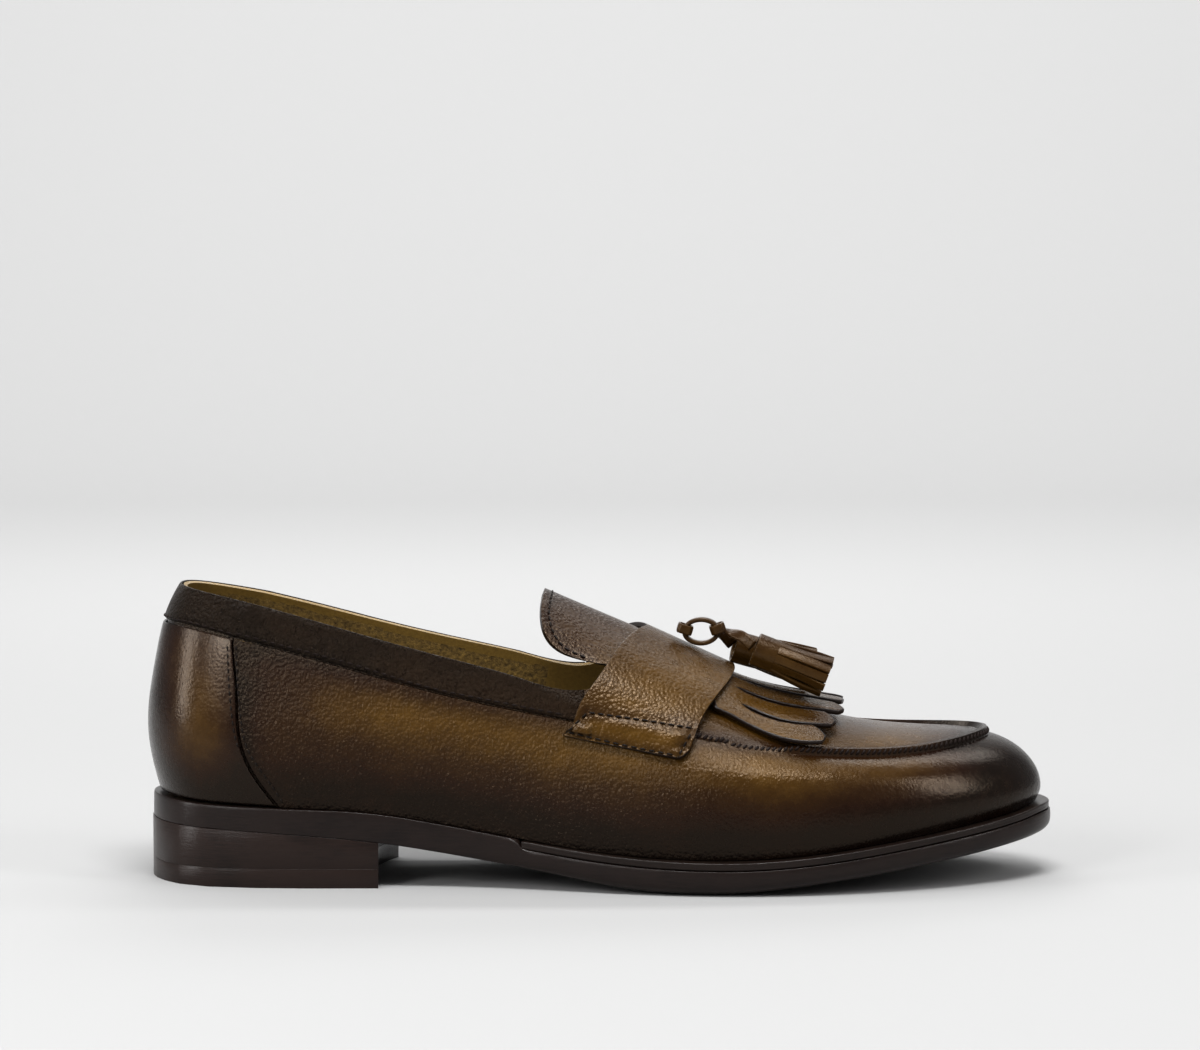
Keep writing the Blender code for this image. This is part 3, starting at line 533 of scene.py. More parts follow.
def stitch_shape():
    """One lock stitch: a bead along x with full shoulders and ends that dip into their holes."""
    bpy.ops.mesh.primitive_uv_sphere_add(segments=8, ring_count=6, radius=0.5)
    bead = bpy.context.active_object
    bpy.ops.object.mode_set(mode="EDIT")
    bpy.ops.mesh.select_all(action="SELECT")
    bpy.ops.transform.rotate(value=math.pi / 2, orient_axis="Y", center_override=(0, 0, 0))
    bpy.ops.object.mode_set(mode="OBJECT")
    co = np.array([v.co for v in bead.data.vertices])
    faces = [list(f.vertices) for f in bead.data.polygons]
    bpy.data.objects.remove(bead)
    co[:, 0] = np.sign(co[:, 0]) * 0.5 * (np.abs(co[:, 0]) * 2) ** 0.8
    co[:, 2] -= 1.1 * co[:, 0] ** 2
    return co, faces


STITCH = stitch_shape()


def sewn(name, lines, look, long=STITCH_LONG, thick=THREAD, slant=0.0, sink=0.12):
    """Stitches along lines of (point, normal) that are given at half the pitch."""
    shapes = []
    co, faces = STITCH
    for line in lines:
        for k in range(1, len(line) - 1, 2):
            p, n = line[k]
            along = (line[k + 1][0] - line[k - 1][0]).normalized()
            side = n.cross(along).normalized()
            turned = (along * math.cos(slant) + side * math.sin(slant)).normalized()
            side = n.cross(turned).normalized()
            size = np.array([long, thick, thick * 0.9])
            base = np.array([turned, side, n])
            shapes.append(((co * size) @ base + np.array(p + n * (thick * 0.5 - sink)), faces))
    return joined(name, shapes, look)


# Materials


def add(tree, kind, links=(), stops=(), **settings):
    """Add a node with its settings and links, and with (place, colour) stops where it is a ramp."""
    node = tree.nodes.new(kind)
    if stops:
        band = node.color_ramp
        while len(band.elements) < len(stops):
            band.elements.new(0.5)
        for element, (position, value) in zip(band.elements, stops):
            element.position = position
            element.color = value
    for key, value in settings.items():
        if key.startswith("in_"):
            socket = key[3:]
            node.inputs[int(socket) if socket.isdigit() else socket.replace("_", " ")].default_value = value
        else:
            setattr(node, key, value)
    for source, target in links:
        tree.links.new(source, node.inputs[target])
    return node


def blank(name):
    """New material with its shader, its node tree and object coordinates."""
    look = bpy.data.materials.new(name)
    look.use_nodes = True
    tree = look.node_tree
    shader = tree.nodes["Principled BSDF"]
    where = add(tree, "ShaderNodeTexCoord")
    return look, tree, shader, where.outputs["Object"]


def burnished_calf(
    name,
    stops,
    pore=1.15,
    grain=0.5,
    lines=0.2,
    turn=0.0,
    stretch=(1.0, 1.0, 0.28),
    rough=0.25,
    coat=0.15,
    shine=0.44,
    calm=1.0,
):
    """Full-grain calf, hand stained and waxed: cloudy brown, fine pebble, soft gloss under thin wax.

    The stain's clouds are 26 mm wide and its flecks 3.2 mm. The pores are drawn 1.15 mm wide, coarser
    than they are, so that they show. The fine creases are 1.5 mm apart. Towards the polished toe the
    grain keeps only the share that calm gives.
    """
    look, tree, shader, where = blank(name)
    # The tone carries the patina with its painted highlights and painted shade.
    tone = add(tree, "ShaderNodeAttribute", attribute_name="tone")
    cloud = add(
        tree,
        "ShaderNodeTexNoise",
        [(where, "Vector")],
        in_Scale=1 / (26 * MM),
        in_Detail=4.0,
        in_Roughness=0.6,
    )
    fleck = add(
        tree,
        "ShaderNodeTexNoise",
        [(where, "Vector")],
        in_Scale=1 / (3.2 * MM),
        in_Detail=3.0,
        in_Roughness=0.6,
    )
    clouded = add(
        tree, "ShaderNodeMath", [(cloud.outputs["Fac"], 0)], operation="MULTIPLY_ADD", in_1=0.42, in_2=-0.21
    )
    flecked = add(
        tree,
        "ShaderNodeMath",
        [(fleck.outputs["Fac"], 0), (clouded.outputs[0], 2)],
        operation="MULTIPLY_ADD",
        in_1=0.20,
    )
    toned = add(tree, "ShaderNodeMath", [(tone.outputs["Fac"], 0), (flecked.outputs[0], 1)], operation="ADD")
    middle = add(tree, "ShaderNodeMath", [(toned.outputs[0], 0)], operation="SUBTRACT", in_1=0.10)
    stain = add(tree, "ShaderNodeValToRGB", [(middle.outputs[0], 0)], stops)
    pores = add(
        tree,
        "ShaderNodeTexVoronoi",
        [(where, "Vector")],
        feature="SMOOTH_F1",
        in_Scale=1 / (pore * MM),
        in_Smoothness=0.2,
    )
    creased = add(
        tree, "ShaderNodeMapping", [(where, "Vector")], in_Rotation=(0.0, turn, 0.0), in_Scale=stretch
    )
    fold = add(
        tree,
        "ShaderNodeTexNoise",
        [(creased.outputs[0], "Vector")],
        in_Scale=1 / (1.5 * MM),
        in_Detail=5.0,
        in_Roughness=0.62,
    )
    fold = add(tree, "ShaderNodeMath", [(fold.outputs["Fac"], 0)], operation="SUBTRACT", in_1=0.5)
    fold = add(tree, "ShaderNodeMath", [(fold.outputs[0], 0)], operation="ABSOLUTE")
    fold = add(tree, "ShaderNodeMath", [(fold.outputs[0], 0)], operation="MULTIPLY", in_1=4.0)
    crease = add(
        tree, "ShaderNodeBump", [(fold.outputs[0], "Height")], in_Strength=lines, in_Distance=0.9 * MM
    )
    pebble = add(
        tree,
        "ShaderNodeBump",
        [(pores.outputs["Distance"], "Height"), (crease.outputs[0], "Normal")],
        invert=True,
        in_Strength=grain,
        in_Distance=0.6 * MM,
    )
    axes = add(tree, "ShaderNodeSeparateXYZ", [(where, 0)])
    calm_from, calm_to = ((x - HEEL_REST_X) * MM for x in CALM_FROM_TO)
    for node, strength in ((crease, lines), (pebble, grain)):
        eased = add(
            tree,
            "ShaderNodeMapRange",
            [(axes.outputs["X"], 0)],
            in_1=calm_from,
            in_2=calm_to,
            in_3=strength,
            in_4=strength * calm,
        )
        tree.links.new(eased.outputs[0], node.inputs["Strength"])
    worn = add(
        tree,
        "ShaderNodeMapRange",
        [(fleck.outputs["Fac"], 0)],
        in_1=0.3,
        in_2=0.7,
        in_3=rough - 0.05,
        in_4=rough + 0.08,
    )
    tree.links.new(stain.outputs[0], shader.inputs["Base Color"])
    tree.links.new(worn.outputs[0], shader.inputs["Roughness"])
    tree.links.new(pebble.outputs[0], shader.inputs["Normal"])
    tree.links.new(crease.outputs[0], shader.inputs["Coat Normal"])
    shader.inputs["IOR"].default_value = LEATHER_IOR
    shader.inputs["Specular IOR Level"].default_value = shine
    shader.inputs["Specular Tint"].default_value = colour("ffe4c4")
    shader.inputs["Coat Weight"].default_value = coat
    shader.inputs["Coat Roughness"].default_value = 0.2
    shader.inputs["Coat IOR"].default_value = LEATHER_IOR
    return look


LEATHER_IOR = 1.4
# Between these places, in millimetres from the heel, the grain calms down towards the polished toe.
CALM_FROM_TO = (145.0, 235.0)
# Stain from its darkest to its lightest, as (place, colour).
UPPER_STAIN = (
    (0.0, colour("0b0403")),
    (0.28, colour("1e0d06")),
    (0.50, colour("2c1a09")),
    (0.72, colour("412c0c")),
    (1.0, colour("5c4214")),
)
BAND_STAIN = (
    (0.0, colour("0a0605")),
    (0.35, colour("160e0a")),
    (0.65, colour("251910")),
    (1.0, colour("38271a")),
)


def dressed_edge(name, low, high, layer):
    """Stacked sole leather, sanded, stained and waxed on its edge: dark brown with fine level lines.

    The lines are one layer of millimetres high, and the wear on them is 14 mm wide.
    """
    look, tree, shader, where = blank(name)
    level = add(tree, "ShaderNodeMapping", [(where, "Vector")], in_Scale=(0.06, 0.06, 1.0))
    line = add(
        tree,
        "ShaderNodeTexNoise",
        [(level.outputs[0], "Vector")],
        in_Scale=1 / (layer * MM),
        in_Detail=5.0,
        in_Roughness=0.7,
    )
    wear = add(tree, "ShaderNodeTexNoise", [(where, "Vector")], in_Scale=1 / (14 * MM), in_Detail=3.0)
    mixed = add(
        tree,
        "ShaderNodeMath",
        [(line.outputs["Fac"], 0), (wear.outputs["Fac"], 2)],
        operation="MULTIPLY_ADD",
        in_1=0.9,
    )
    stops = ((0.55, colour(low)), (1.0, colour(high)))
    shade = add(tree, "ShaderNodeValToRGB", [(mixed.outputs[0], 0)], stops)
    bump = add(
        tree, "ShaderNodeBump", [(line.outputs["Fac"], "Height")], in_Strength=0.35, in_Distance=0.25 * MM
    )
    tree.links.new(shade.outputs[0], shader.inputs["Base Color"])
    tree.links.new(bump.outputs[0], shader.inputs["Normal"])
    shader.inputs["Roughness"].default_value = 0.28
    shader.inputs["IOR"].default_value = LEATHER_IOR
    shader.inputs["Specular IOR Level"].default_value = 0.44
    return look


def plain_leather(name, low, high, nap_size, strength, rough):
    """Undressed leather: matt, with a short nap or pores of nap_size millimetres."""
    look, tree, shader, where = blank(name)
    nap = add(
        tree,
        "ShaderNodeTexNoise",
        [(where, "Vector")],
        in_Scale=1 / (nap_size * MM),
        in_Detail=6.0,
        in_Roughness=0.7,
    )
    stops = ((0.3, colour(low)), (0.7, colour(high)))
    shade = add(tree, "ShaderNodeValToRGB", [(nap.outputs["Fac"], 0)], stops)
    bump = add(
        tree, "ShaderNodeBump", [(nap.outputs["Fac"], "Height")], in_Strength=strength, in_Distance=0.5 * MM
    )
    tree.links.new(shade.outputs[0], shader.inputs["Base Color"])
    tree.links.new(bump.outputs[0], shader.inputs["Normal"])
    shader.inputs["Roughness"].default_value = rough
    return look


def waxed_thread(name, value):
    """Waxed polyester thread: dark, with a twist of a quarter of a millimetre and a low sheen."""
    look, tree, shader, where = blank(name)
    twist = add(tree, "ShaderNodeTexNoise", [(where, "Vector")], in_Scale=1 / (0.25 * MM), in_Detail=1.0)
    bump = add(
        tree, "ShaderNodeBump", [(twist.outputs["Fac"], "Height")], in_Strength=0.4, in_Distance=0.1 * MM
    )
    tree.links.new(bump.outputs[0], shader.inputs["Normal"])
    shader.inputs["Base Color"].default_value = colour(value)
    shader.inputs["Roughness"].default_value = 0.5
    shader.inputs["Specular IOR Level"].default_value = 0.2
    return look


# Vamp and quarters: hand-burnished calf with a bright, smooth toe.
vamp_calf = burnished_calf(
    "burnished_vamp_calf", UPPER_STAIN, grain=0.45, lines=0.3, turn=0.6, rough=0.23, calm=0.2
)
# Band round the mouth: softer, darker calf that creases at every step, with hardly any wax.
band_calf = burnished_calf(
    "creased_band_calf",
    BAND_STAIN,
    pore=1.2,
    grain=0.85,
    lines=0.9,
    stretch=(1.0, 1.0, 0.35),
    rough=0.3,
    coat=0.05,
    shine=0.3,
)
# Counter: the same calf, pulled smooth over the stiffener and polished.
counter_calf = burnished_calf(
    "smooth_counter_calf", UPPER_STAIN, pore=1.0, grain=0.1, lines=0.06, rough=0.24, coat=0.3
)
# Strap, tongue and kiltie: calf that keeps its pebble, and narrow thongs of it for lace and tassels.
strap_calf = burnished_calf("strap_calf", UPPER_STAIN, grain=0.36, lines=0.08, turn=-0.9, rough=0.26)
lace_calf = burnished_calf("lace_calf", UPPER_STAIN, pore=0.6, grain=0.12, lines=0.08, rough=0.3)
# Edges: a painted cut edge on thin leather, and sanded, stained and waxed sole leather, nearly black.
cut_edge = dressed_edge("painted_cut_edge", "0e0806", "1d120c", 0.5)
heel_leather = dressed_edge("stacked_heel_edge", "150f0d", "281d19", 0.55)
sole_leather = dressed_edge("outsole_edge", "110b0a", "211815", 0.5)
welt_leather = dressed_edge("welt_edge", "110b09", "211814", 0.6)
# Inside: straw-coloured lining calf with a low shine, a fuzzy suede strip at the heel, a plain sock.
lining_calf = plain_leather("drummed_lining_calf", "715a2c", "8a713a", 0.9, 0.18, 0.42)
grip_suede = plain_leather("heel_grip_suede", "3a2b12", "957a40", 1.3, 1.0, 0.95)
sock_leather = plain_leather("sock_leather", "453312", "5c471e", 0.8, 0.2, 0.6)
# Thread: near black along edges, and a browner one for the hand-sewn ridge.
dark_thread = waxed_thread("dark_waxed_thread", "150d09")
ridge_thread = waxed_thread("moccasin_thread", "1a0e09")


def tone_of(co, base):
    """Patina and painted light at points: light and dark spots, some of them painted highlights and painted
    shade, and painted shade along the sole.
    """
    tone = np.full(len(co), base)
    for x, z, reach_x, reach_z, strength in PATINA_AND_PAINTED_LIGHT:
        tone += strength * np.exp(-(((co[:, 0] - x) / reach_x) ** 2) - (((co[:, 2] - z) / reach_z) ** 2))
    above_sole = co[:, 2] - read_line(SOLE_LINE, co[:, 0])
    # Painted shade towards the sole.
    return tone - PAINTED_SOLE_SHADE * (1.0 - soft_step(0.0, PAINTED_SOLE_SHADE_HIGH, above_sole))


def paint(piece, base, *edges):
    """Store the patina with its painted highlights and shade on the piece, darker near edges given as
    (points, reach, strength).
    """
    co, _ = points_of(piece)
    tone = tone_of(co, base)
    for points, reach, dark in edges:
        tree = search_tree(points)
        near = np.array([tree.find(Vector(p))[2] for p in co])
        tone -= dark * np.exp(-((near / reach) ** 2))
    layer = piece.data.attributes.new("tone", "FLOAT", "POINT")
    layer.data.foreach_set("value", np.clip(tone, 0.0, 1.0).astype(np.float32))


def finish_piece(piece, slot, *looks):
    """Give a piece its materials and its body. The slot is not used."""
    for look in looks:
        piece.data.materials.append(look)
    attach(piece, "root")
    return piece


# Seams as points x y z: each side, the collar's seam, and the moccasin seam round the toe.
SEAM_OUTER = [(x, y_outer, z_outer) for x, y_outer, _, z_outer, _ in SEAM]
SEAM_INNER = [(x, y_inner, z_inner) for x, _, y_inner, _, z_inner in SEAM]
seam_round = even(SEAM_OUTER[::-1] + SEAM_INNER[1:], SEAM_PITCH)
collar_seam = [p for p in seam_round if p.x < 150.0]
seam_start_inner = [(x, -y * 1.03, z + INNER_LIFT) for x, y, z in SEAM_START]
toe_seam = SEAM_OUTER[12:] + SEAM_INNER[-2:11:-1]
moccasin_line = even([*SEAM_START, *toe_seam, *seam_start_inner[::-1]], MOCCASIN_PITCH)


def make_upper():
    """Vamp and quarters, with the lining on the wall's inner faces and a pressed ridge for the seam."""
    piece = from_cad("upper", "upper_leather")
    rounded(piece, 0.7, 2, angle=42)
    press_creases(piece, QUARTER_CREASES)
    tree = skin(piece)
    counter_edge = []
    for side in (-1, 1):
        counter_edge += [p for p, _ in side_line(tree, COUNTER_LINE, side, SEAM_PITCH)]
    both_ends = moccasin_line[:RIDGE_POINTS] + moccasin_line[-RIDGE_POINTS:]
    press_line(piece, onto(tree, off_axis(both_ends, up=0.9)), -0.75, 0.9)
    paint(piece, 0.30, (collar_seam, 4.5, 0.26), (counter_edge, 2.2, 0.16), (moccasin_line, 4.2, 0.42))
    inner_faces(piece)
    return finish_piece(piece, "upper_calf", vamp_calf, lining_calf, grip_suede)


def inner_faces(piece):
    """Lining on the faces that look to the middle of the shoe, suede in a strip round the heel."""
    heel_middle, heel_reach, toe_cap, toe_middle = 40.0, 40.0, 255.0, (240.0, 34.0)
    closed_from, low_under, roof_from, roof_over = 170, 40, 158, 45
    co, _ = points_of(piece)
    middle_y = read_line(INSIDE_LINE, co[:, 0])
    mouth_z = read_line(MOUTH_LINE, co[:, 0])
    tree = skin(piece)
    for face in piece.data.polygons:
        ids = list(face.vertices)
        middle = co[ids].mean(axis=0)
        x, _, z = middle
        n = face.normal
        sideways = n.y * (middle[1] - middle_y[ids].mean())
        heel_way = (x - heel_middle) * n.x if x < heel_reach else 0.0
        roof_way = n.z * 20.0 if x > roof_from and z > roof_over else 0.0
        outward = sideways + heel_way + roof_way
        if x > toe_cap:
            outward = n.x * (x - toe_middle[0]) + sideways + n.z * (z - toe_middle[1])
        # In the closed forepart a lining face looks at another wall. The ridge outside looks at nothing.
        faced = x < closed_from or z < low_under or tree.ray_cast(Vector(middle) + n * 0.6, n)[0] is not None
        if outward < -1.0 and faced:
            depth = mouth_z[ids].mean() - z
            face.material_index = 2 if SUEDE_TOP < depth < SUEDE_LOW and x < SUEDE_FRONT else 1


def make_band():
    """Wrinkled band round the mouth."""
    piece = from_cad("collar_band", "collar_band_leather")
    rounded(piece, 0.45, 3)
    press_creases(piece, BAND_CREASES)
    paint(piece, 0.36, (collar_seam, 2.6, 0.24))
    return finish_piece(piece, "upper_calf", band_calf)


def make_counter():
    """Counter round the heel, its front edge let a little further out over the quarter."""
    overlap, starts, full = 0.55, -6.0, -1.0
    piece = from_cad("heel_counter", "heel_counter_leather")
    co, _ = points_of(piece)
    edge_x = read_line([(z, x) for x, z in COUNTER_LINE[::-1]], co[:, 2])
    co[:, 0] += overlap * soft_step(starts, full, co[:, 0] - edge_x)
    set_points(piece, co)
    rounded(piece, 0.3, 2)
    paint(piece, 0.34, (collar_seam, 4.0, 0.2))
    return finish_piece(piece, "upper_calf", counter_calf)


def pull_ends(strap):
    """Pull both ends of the strap down over the quarters, keeping their height off the skin."""
    tree = skin(bpy.data.objects["upper_leather"])
    co, _ = points_of(strap)
    x_end, z_end, pull = zip(*STRAP_END)
    lean_from, lean_to, lean_share = STRAP_END_LEAN
    for side in (-1, 1):
        mine = np.nonzero(co[:, 1] * side > 20.0)[0]
        lift = co[mine, 2].min() - min(z_end)
        for i in mine:
            x, y, z = co[i]
            share = 1.0 - float(soft_step(0.0, STRAP_END_REACH, z - lift - np.interp(x, x_end, z_end)))
            drop = share * float(np.interp(x, x_end, pull))
            lean = lean_share * float(soft_step(lean_from, lean_to, x))
            spots = onto(tree, [(x, z), (x - lean * drop, z - drop)], side)
            if share > 0.0 and len(spots) == 2 and spots[0][0].y * side > 15.0:
                before, after = spots[0][0], spots[1][0]
                co[i] = (after.x, y + after.y - before.y, after.z)
    set_points(strap, co)


def make_strap():
    """Saddle strap with painted cut edges and a stitched box at each end."""
    piece = from_cad("saddle_strap", "saddle_strap_leather")
    mark_rim(piece)
    rounded(piece, 0.3, 3)
    pull_ends(piece)
    tree = skin(piece)
    lines = []
    for side, lift in ((-1, 0.0), (1, INNER_LIFT)):
        for a, b in ((0, 1), (1, 3), (3, 4), (4, 6)):
            line = side_line(tree, STRAP_BOX[a : b + 1], side, STITCH_PITCH / 2, lift)
            if len(line) > 2:
                lines.append(line)
    for line in lines:
        press_line(piece, line, 0.4, 0.95)
    paint(piece, 0.42, ([p for line in lines for p, _ in line], 3.4, 0.26))
    finish_piece(piece, "upper_calf", strap_calf, cut_edge)
    finish_piece(sewn("strap_stitches", lines, dark_thread), "upper_calf")
    return piece


def make_tongue():
    """Tongue with a stitched, painted edge."""
    piece = from_cad("tongue", "tongue_leather")
    mark_rim(piece)
    rounded(piece, 0.4, 2)
    tree = skin(piece)
    # The seam follows the edge 2.6 mm further in.
    inner = [(x + 2.6, y * 0.93, z - 0.9) for x, y, z in TONGUE_EDGE]
    outer = [(x, -y, z) for x, y, z in inner[:0:-1]]
    line = onto(tree, off_axis(even(outer + inner, STITCH_PITCH / 2), along=0.4, up=0.9))
    press_line(piece, line, 0.2, 0.8)
    paint(piece, 0.36, ([p for p, _ in line], 3.0, 0.2))
    finish_piece(piece, "upper_calf", strap_calf, cut_edge)
    finish_piece(sewn("tongue_stitches", [line], dark_thread), "upper_calf")
    return piece


def make_kiltie():
    """Fringed flap with painted cut edges between its strips."""
    piece = from_cad("kiltie", "kiltie_leather")
    mark_rim(piece)
    rounded(piece, 0.22, 1, segments=1)
    paint(piece, 0.36)
    return finish_piece(piece, "upper_calf", strap_calf, cut_edge)


def make_upper_seams(upper):
    """Stitching of the collar seam and the counter, and the hand-sewn ridge on the vamp."""
    over_seam, behind, before = 1.7, -1.9, 0.9
    tree = skin(upper)
    band = skin(bpy.data.objects["collar_band_leather"])
    counter = skin(bpy.data.objects["heel_counter_leather"])
    lift = Vector((0.0, 0.0, over_seam))
    heel = even(SEAM_OUTER[3::-1] + SEAM_INNER[1:4], STITCH_PITCH / 2)
    lines = [onto(band, off_axis([p + lift for p in heel]))]
    for side, rows in ((-1, SEAM_OUTER), (1, SEAM_INNER)):
        lines.append(side_line(band, [(x, z + over_seam) for x, _, z in rows[3:8]], side, STITCH_PITCH / 2))
    finish_piece(sewn("collar_stitches", lines, ridge_thread), "upper_calf")
    lines = []
    for side in (-1, 1):
        for shift, under in ((behind, counter), (before, tree)):
            shifted = [(x + shift, z) for x, z in COUNTER_LINE]
            lines.append(side_line(under, shifted, side, STITCH_PITCH * 0.42))
    finish_piece(sewn("counter_stitches", lines, dark_thread, long=1.7, thick=0.55), "upper_calf")
    below = [p + Vector((0.0, 0.0, -0.9)) for p in moccasin_line]
    ridge = [onto(tree, off_axis(below, up=0.9))]
    sewn_ridge = sewn("moccasin_stitches", ridge, ridge_thread, long=2.3, thick=1.0, slant=0.9, sink=0.4)
    finish_piece(sewn_ridge, "upper_calf")


def close_joint(piece, node):
    """Bring the glued faces of welt and heel together, as they are dressed in one."""
    co, _ = points_of(piece)
    if node == "heel_stack":
        co[:, 2] += np.where(co[:, 2] > 10.0, GLUE, -GLUE)
    if node == "welt":
        upper_side = co[:, 2] > read_line(WELT_SEAT, co[:, 0]) - 1.3
        co[:, 2] -= np.where(upper_side, 0.0, GLUE)
        end = co[:, 0] < co[:, 0].min() + WELT_END_REACH
        co[:, 0] -= np.where(end, WELT_END_PUSH, 0.0)
    set_points(piece, co)


def make_sole():
    """Outsole, welt, heel and top piece with softened edges, and the sock on the insole."""
    for node, name, look, width in (
        ("outsole", "outsole_leather", sole_leather, 0.45),
        ("welt", "welt_strip", welt_leather, 0.8),
        ("heel_stack", "heel_lifts", heel_leather, 0.06),
        ("heel_top_piece", "heel_top_lift", heel_leather, 0.1),
    ):
        piece = from_cad(node, name)
        close_joint(piece, node)
        rounded(piece, width, 2 if node in ("outsole", "welt") else 0, angle=50)
        finish_piece(piece, "sole_edge", look)
    sock = from_cad("insole", "sock")
    rounded(sock, 0.5, 1, angle=30)
    finish_piece(sock, "lining_calf", sock_leather)


def ribbon(path, wide_way, wide, thick):
    """Flat thong with rounded edges along a path, with a cap on each end."""
    ring_shape = [(-0.5, -0.2), (-0.44, -0.42), (-0.3, -0.5), (0.3, -0.5), (0.44, -0.42), (0.5, -0.2)]
    ring_shape += [(-a, -b) for a, b in ring_shape]
    n = len(ring_shape)
    points, faces = [], []
    for i, p in enumerate(path):
        before, after = path[max(i - 1, 0)], path[min(i + 1, len(path) - 1)]
        along = (after - before).normalized()
        side = (wide_way[i] - along * wide_way[i].dot(along)).normalized()
        up = along.cross(side)
        points += [np.array(p + side * wide * a + up * thick * b) for a, b in ring_shape]
        if i:
            s = (i - 1) * n
            faces += [[s + k, s + (k + 1) % n, s + n + (k + 1) % n, s + n + k] for k in range(n)]
    faces.append(list(range(n))[::-1])
    faces.append([len(points) - n + k for k in range(n)])
    return np.array(points), faces


def make_lace():
    """Flat lace: outer tassel, once round the ring, inner tassel, and a band at each end of the ring."""
    steps = 40
    centre = Vector(LACE_RING)
    turn = []
    for k in range(steps + 1):
        angle = math.radians(14.0) + 2 * math.pi * k / steps
        drift = -1.0 + 2.0 * k / steps
        turn.append(centre + Vector((LACE_RING_X * math.cos(angle), drift, LACE_RING_Z * math.sin(angle))))
    start = even([*TAIL_OUTER, tuple(turn[0])], 0.8)
    end = even([tuple(turn[-1]), *TAIL_INNER], 0.8)
    path = start[:-1] + turn + end[1:]
    # Round the ring the lace lies flat. Along each tail it turns its face to the side.
    across = [Vector((0.1, 1.0, 0.0))] * len(path)
    for row in (range(len(start)), range(len(path) - 1, len(path) - len(end) - 1, -1)):
        for k, i in enumerate(row):
            turned = math.cos(0.5 * math.pi * min(k / (0.8 * len(row)), 1.0))
            across[i] = Vector((0.1 + 0.5 * turned, 1.0 - turned, 0.95 * turned))
    lace = joined("lace", [ribbon(path, across, LACE_WIDE, LACE_THICK)], lace_calf)
    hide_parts("lace_ring", "lace_tail_near", "lace_tail_far")
    paint(lace, 0.42)
    finish_piece(lace, "lace_calf")
    bands = []
    for node in ("lace_band_rear", "lace_band_front"):
        band = from_cad(node, node.replace("lace_band", "knot"))
        rounded(band, 0.18, 2)
        paint(band, 0.46)
        bands.append(finish_piece(band, "lace_calf", lace_calf))
    return lace, path, bands


def make_tassel(name, start, end, radius):
    """Rolled cap with an overlap, and a skirt of flat strips that fan out to uneven tips."""
    start, end = Vector(start), Vector(end)
    along = (end - start).normalized()
    side = along.cross(Vector((0, 0, 1))).normalized()
    up = side.cross(along)
    # Cap, turned from its hollow upper end to its lower rim: place along it and radius.
    profile = [
        (2.4, radius - 1.9),
        (2.2, radius - 1.5),
        (0.1, radius - 1.3),
        (0.0, radius - 0.35),
        (0.35, radius),
        (TASSEL_CAP * 0.5, radius * 1.01),
        (TASSEL_CAP - 0.35, radius),
        (TASSEL_CAP, radius - 0.35),
        (TASSEL_CAP, radius - 1.5),
    ]
    points, faces = [], []
    for place_along, r in profile:
        for k in range(TASSEL_TURNS):
            angle = 2 * math.pi * k / TASSEL_TURNS
            lap = TASSEL_LAP * (k / TASSEL_TURNS)
            spoke = side * math.cos(angle - 0.9) + up * math.sin(angle - 0.9)
            points.append(np.array(start + along * place_along + spoke * (r + lap - 0.4)))
    for i in range(len(profile) - 1):
        for k in range(TASSEL_TURNS):
            a, b = i * TASSEL_TURNS + k, i * TASSEL_TURNS + (k + 1) % TASSEL_TURNS
            faces.append([a, b, b + TASSEL_TURNS, a + TASSEL_TURNS])
    faces.append(list(range(TASSEL_TURNS)))
    faces.append([(len(profile) - 1) * TASSEL_TURNS + k for k in range(TASSEL_TURNS)][::-1])
    shapes = [(np.array(points), faces)]
    # Skirt: outer and inner layer of strips, each from its radius in the cap to that at the tips.
    wide = 2 * math.pi * radius / TASSEL_STRIPS * 0.93
    for layer, count, r0, r1 in (
        (0, TASSEL_STRIPS, radius - 0.75, radius * 1.12),
        (1, TASSEL_INNER_STRIPS, radius - 2.4, radius * 0.74),
    ):
        for k in range(count):
            angle = 2 * math.pi * (k + 0.5 * layer) / count
            spoke = side * math.cos(angle) + up * math.sin(angle)
            tangent = along.cross(spoke).normalized()
            uneven = (0.7 + 0.5 * math.sin(3.1 * k + layer)) * 0.9
            reach = (end - start).length - TASSEL_CAP + 1.6 - uneven
            path, ways = [], []
            for j in range(8):
                t = j / 7
                r = r0 + (r1 - r0) * t + 0.5 * math.sin(math.pi * t) * math.sin(2.3 * k)
                sway = 0.35 * t * math.sin(1.7 * k + layer)
                path.append(start + along * (TASSEL_CAP - 1.5 + reach * t) + spoke * r + tangent * sway)
                ways.append(tangent + spoke * 0.22 * t * math.sin(2.9 * k))
            shapes.append(ribbon(path, ways, wide, STRIP_THICK))
    piece = joined(name + "_leather", shapes, lace_calf)
    bpy.ops.object.mode_set(mode="EDIT")
    bpy.ops.mesh.select_all(action="SELECT")
    bpy.ops.mesh.normals_make_consistent(inside=False)
    bpy.ops.object.mode_set(mode="OBJECT")
    bpy.ops.object.shade_smooth_by_angle(angle=math.radians(40))
    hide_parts(name)
    paint(piece, 0.44)
    return finish_piece(piece, "lace_calf")


upper = make_upper()
make_band()
make_counter()
make_strap()
make_tongue()
make_kiltie()
make_upper_seams(upper)
make_sole()
lace, lace_path, knots = make_lace()
tassels = [make_tassel(*row) for row in TASSELS]


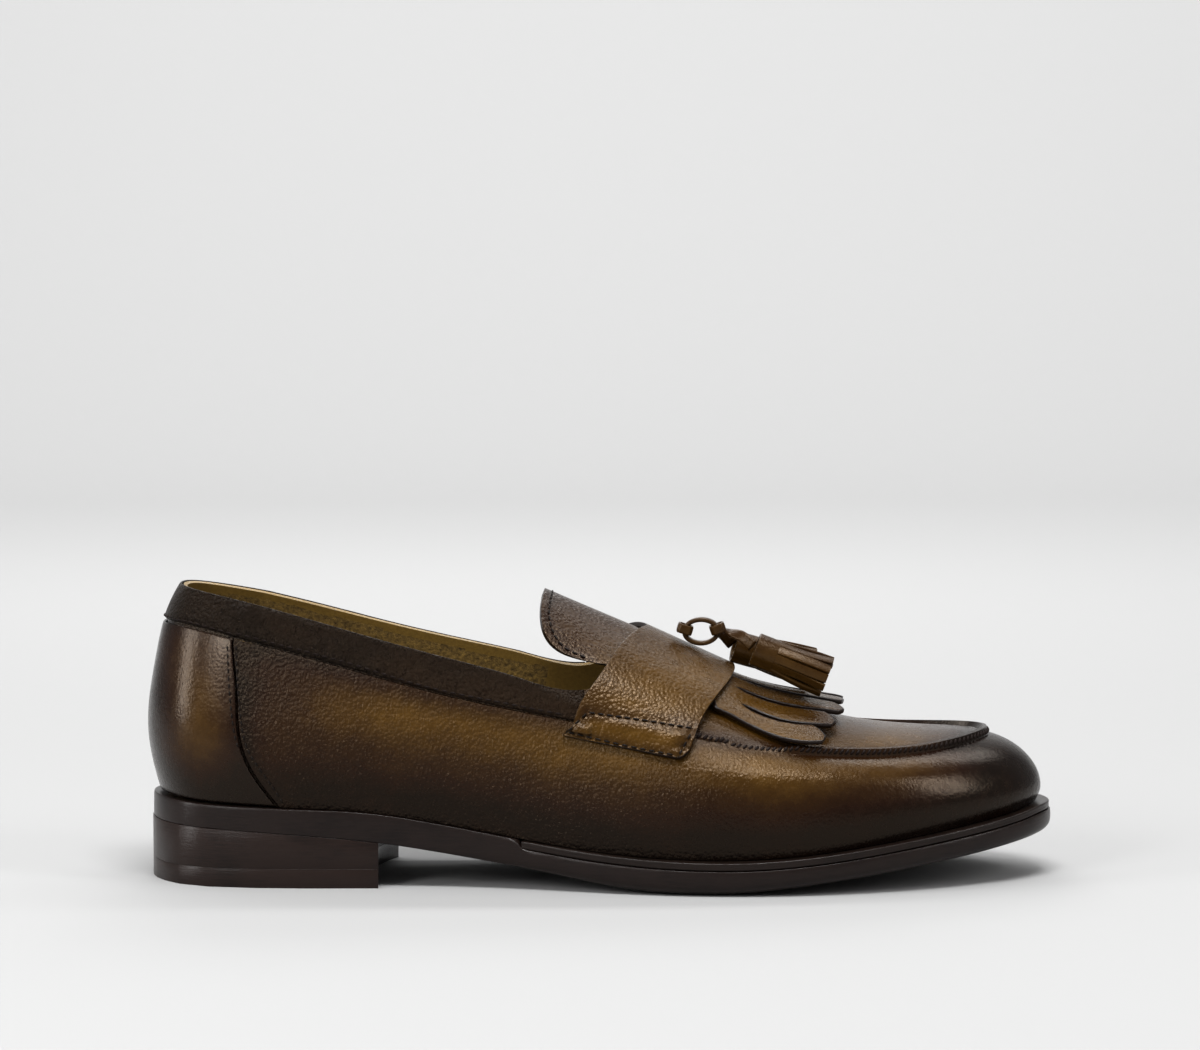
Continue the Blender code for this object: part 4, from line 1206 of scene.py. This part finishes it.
def make_floor():
    """Sheet of paper under the shoe that bends up behind it."""
    long, deep, high = PAPER_SIZE
    bpy.ops.mesh.primitive_plane_add(size=1.0, location=(0.1, 0.0, 0.0))
    floor = bpy.context.active_object
    floor.name = "floor"
    bpy.ops.object.mode_set(mode="EDIT")
    bpy.ops.transform.resize(value=(long, deep, 1.0))
    bpy.ops.mesh.select_all(action="DESELECT")
    bpy.ops.object.mode_set(mode="OBJECT")
    for edge in floor.data.edges:
        edge.select = all(floor.data.vertices[i].co.y > 0 for i in edge.vertices)
    bpy.ops.object.mode_set(mode="EDIT")
    bpy.ops.mesh.select_mode(type="EDGE")
    bpy.ops.mesh.extrude_region_move(TRANSFORM_OT_translate={"value": (0.0, 0.0, high)})
    bpy.ops.object.mode_set(mode="OBJECT")
    sweep = floor.modifiers.new("sweep", "BEVEL")
    sweep.limit_method = "ANGLE"
    sweep.width = PAPER_BEND
    sweep.segments = 16
    apply_all(floor)
    bpy.ops.object.shade_smooth()
    look, _, shader, _ = blank("matt_paper")
    shader.inputs["Base Color"].default_value = (PAPER_GREY, PAPER_GREY, PAPER_GREY, 1.0)
    shader.inputs["Roughness"].default_value = 0.9
    shader.inputs["Specular IOR Level"].default_value = 0.1
    floor.data.materials.append(look)


def softbox(name, spot, aim, wide, tall, power):
    """Area light at a spot, turned to a point, in metres."""
    bpy.ops.object.light_add(type="AREA", location=spot)
    lamp = bpy.context.active_object
    lamp.name = name
    lamp.data.shape = "RECTANGLE"
    lamp.data.size = wide
    lamp.data.size_y = tall
    lamp.data.energy = power
    lamp.rotation_euler = (Vector(aim) - Vector(spot)).to_track_quat("-Z", "Y").to_euler()


def make_studio():
    """Soft boxes above, in front, behind and at both sides, and the camera at the photo's place."""
    for row in SOFTBOXES:
        softbox(*row)
    world = bpy.data.worlds.new("studio")
    bpy.context.scene.world = world
    world.use_nodes = True
    sky = world.node_tree.nodes["Background"]
    sky.inputs["Color"].default_value = (1.0, 1.0, 1.0, 1.0)
    sky.inputs["Strength"].default_value = WORLD_LIGHT
    camera = bpy.data.objects.new("camera", bpy.data.cameras.new("camera"))
    bpy.context.collection.objects.link(camera)
    camera.location = place(CAMERA_X, -CAMERA_BACK, CAMERA_Z)
    camera.rotation_euler = (math.pi / 2 - CAMERA_DIP, 0.0, 0.0)
    camera.data.sensor_fit = "HORIZONTAL"
    camera.data.sensor_width = CAMERA_SENSOR
    camera.data.lens = CAMERA_SENSOR * LENS_PIXELS / PHOTO_WIDE
    camera.data.clip_start = 0.05
    bpy.context.scene.camera = camera
    view = bpy.context.scene.view_settings
    view.view_transform = "Standard"
    view.gamma = PRINT_GAMMA


make_floor()
make_studio()
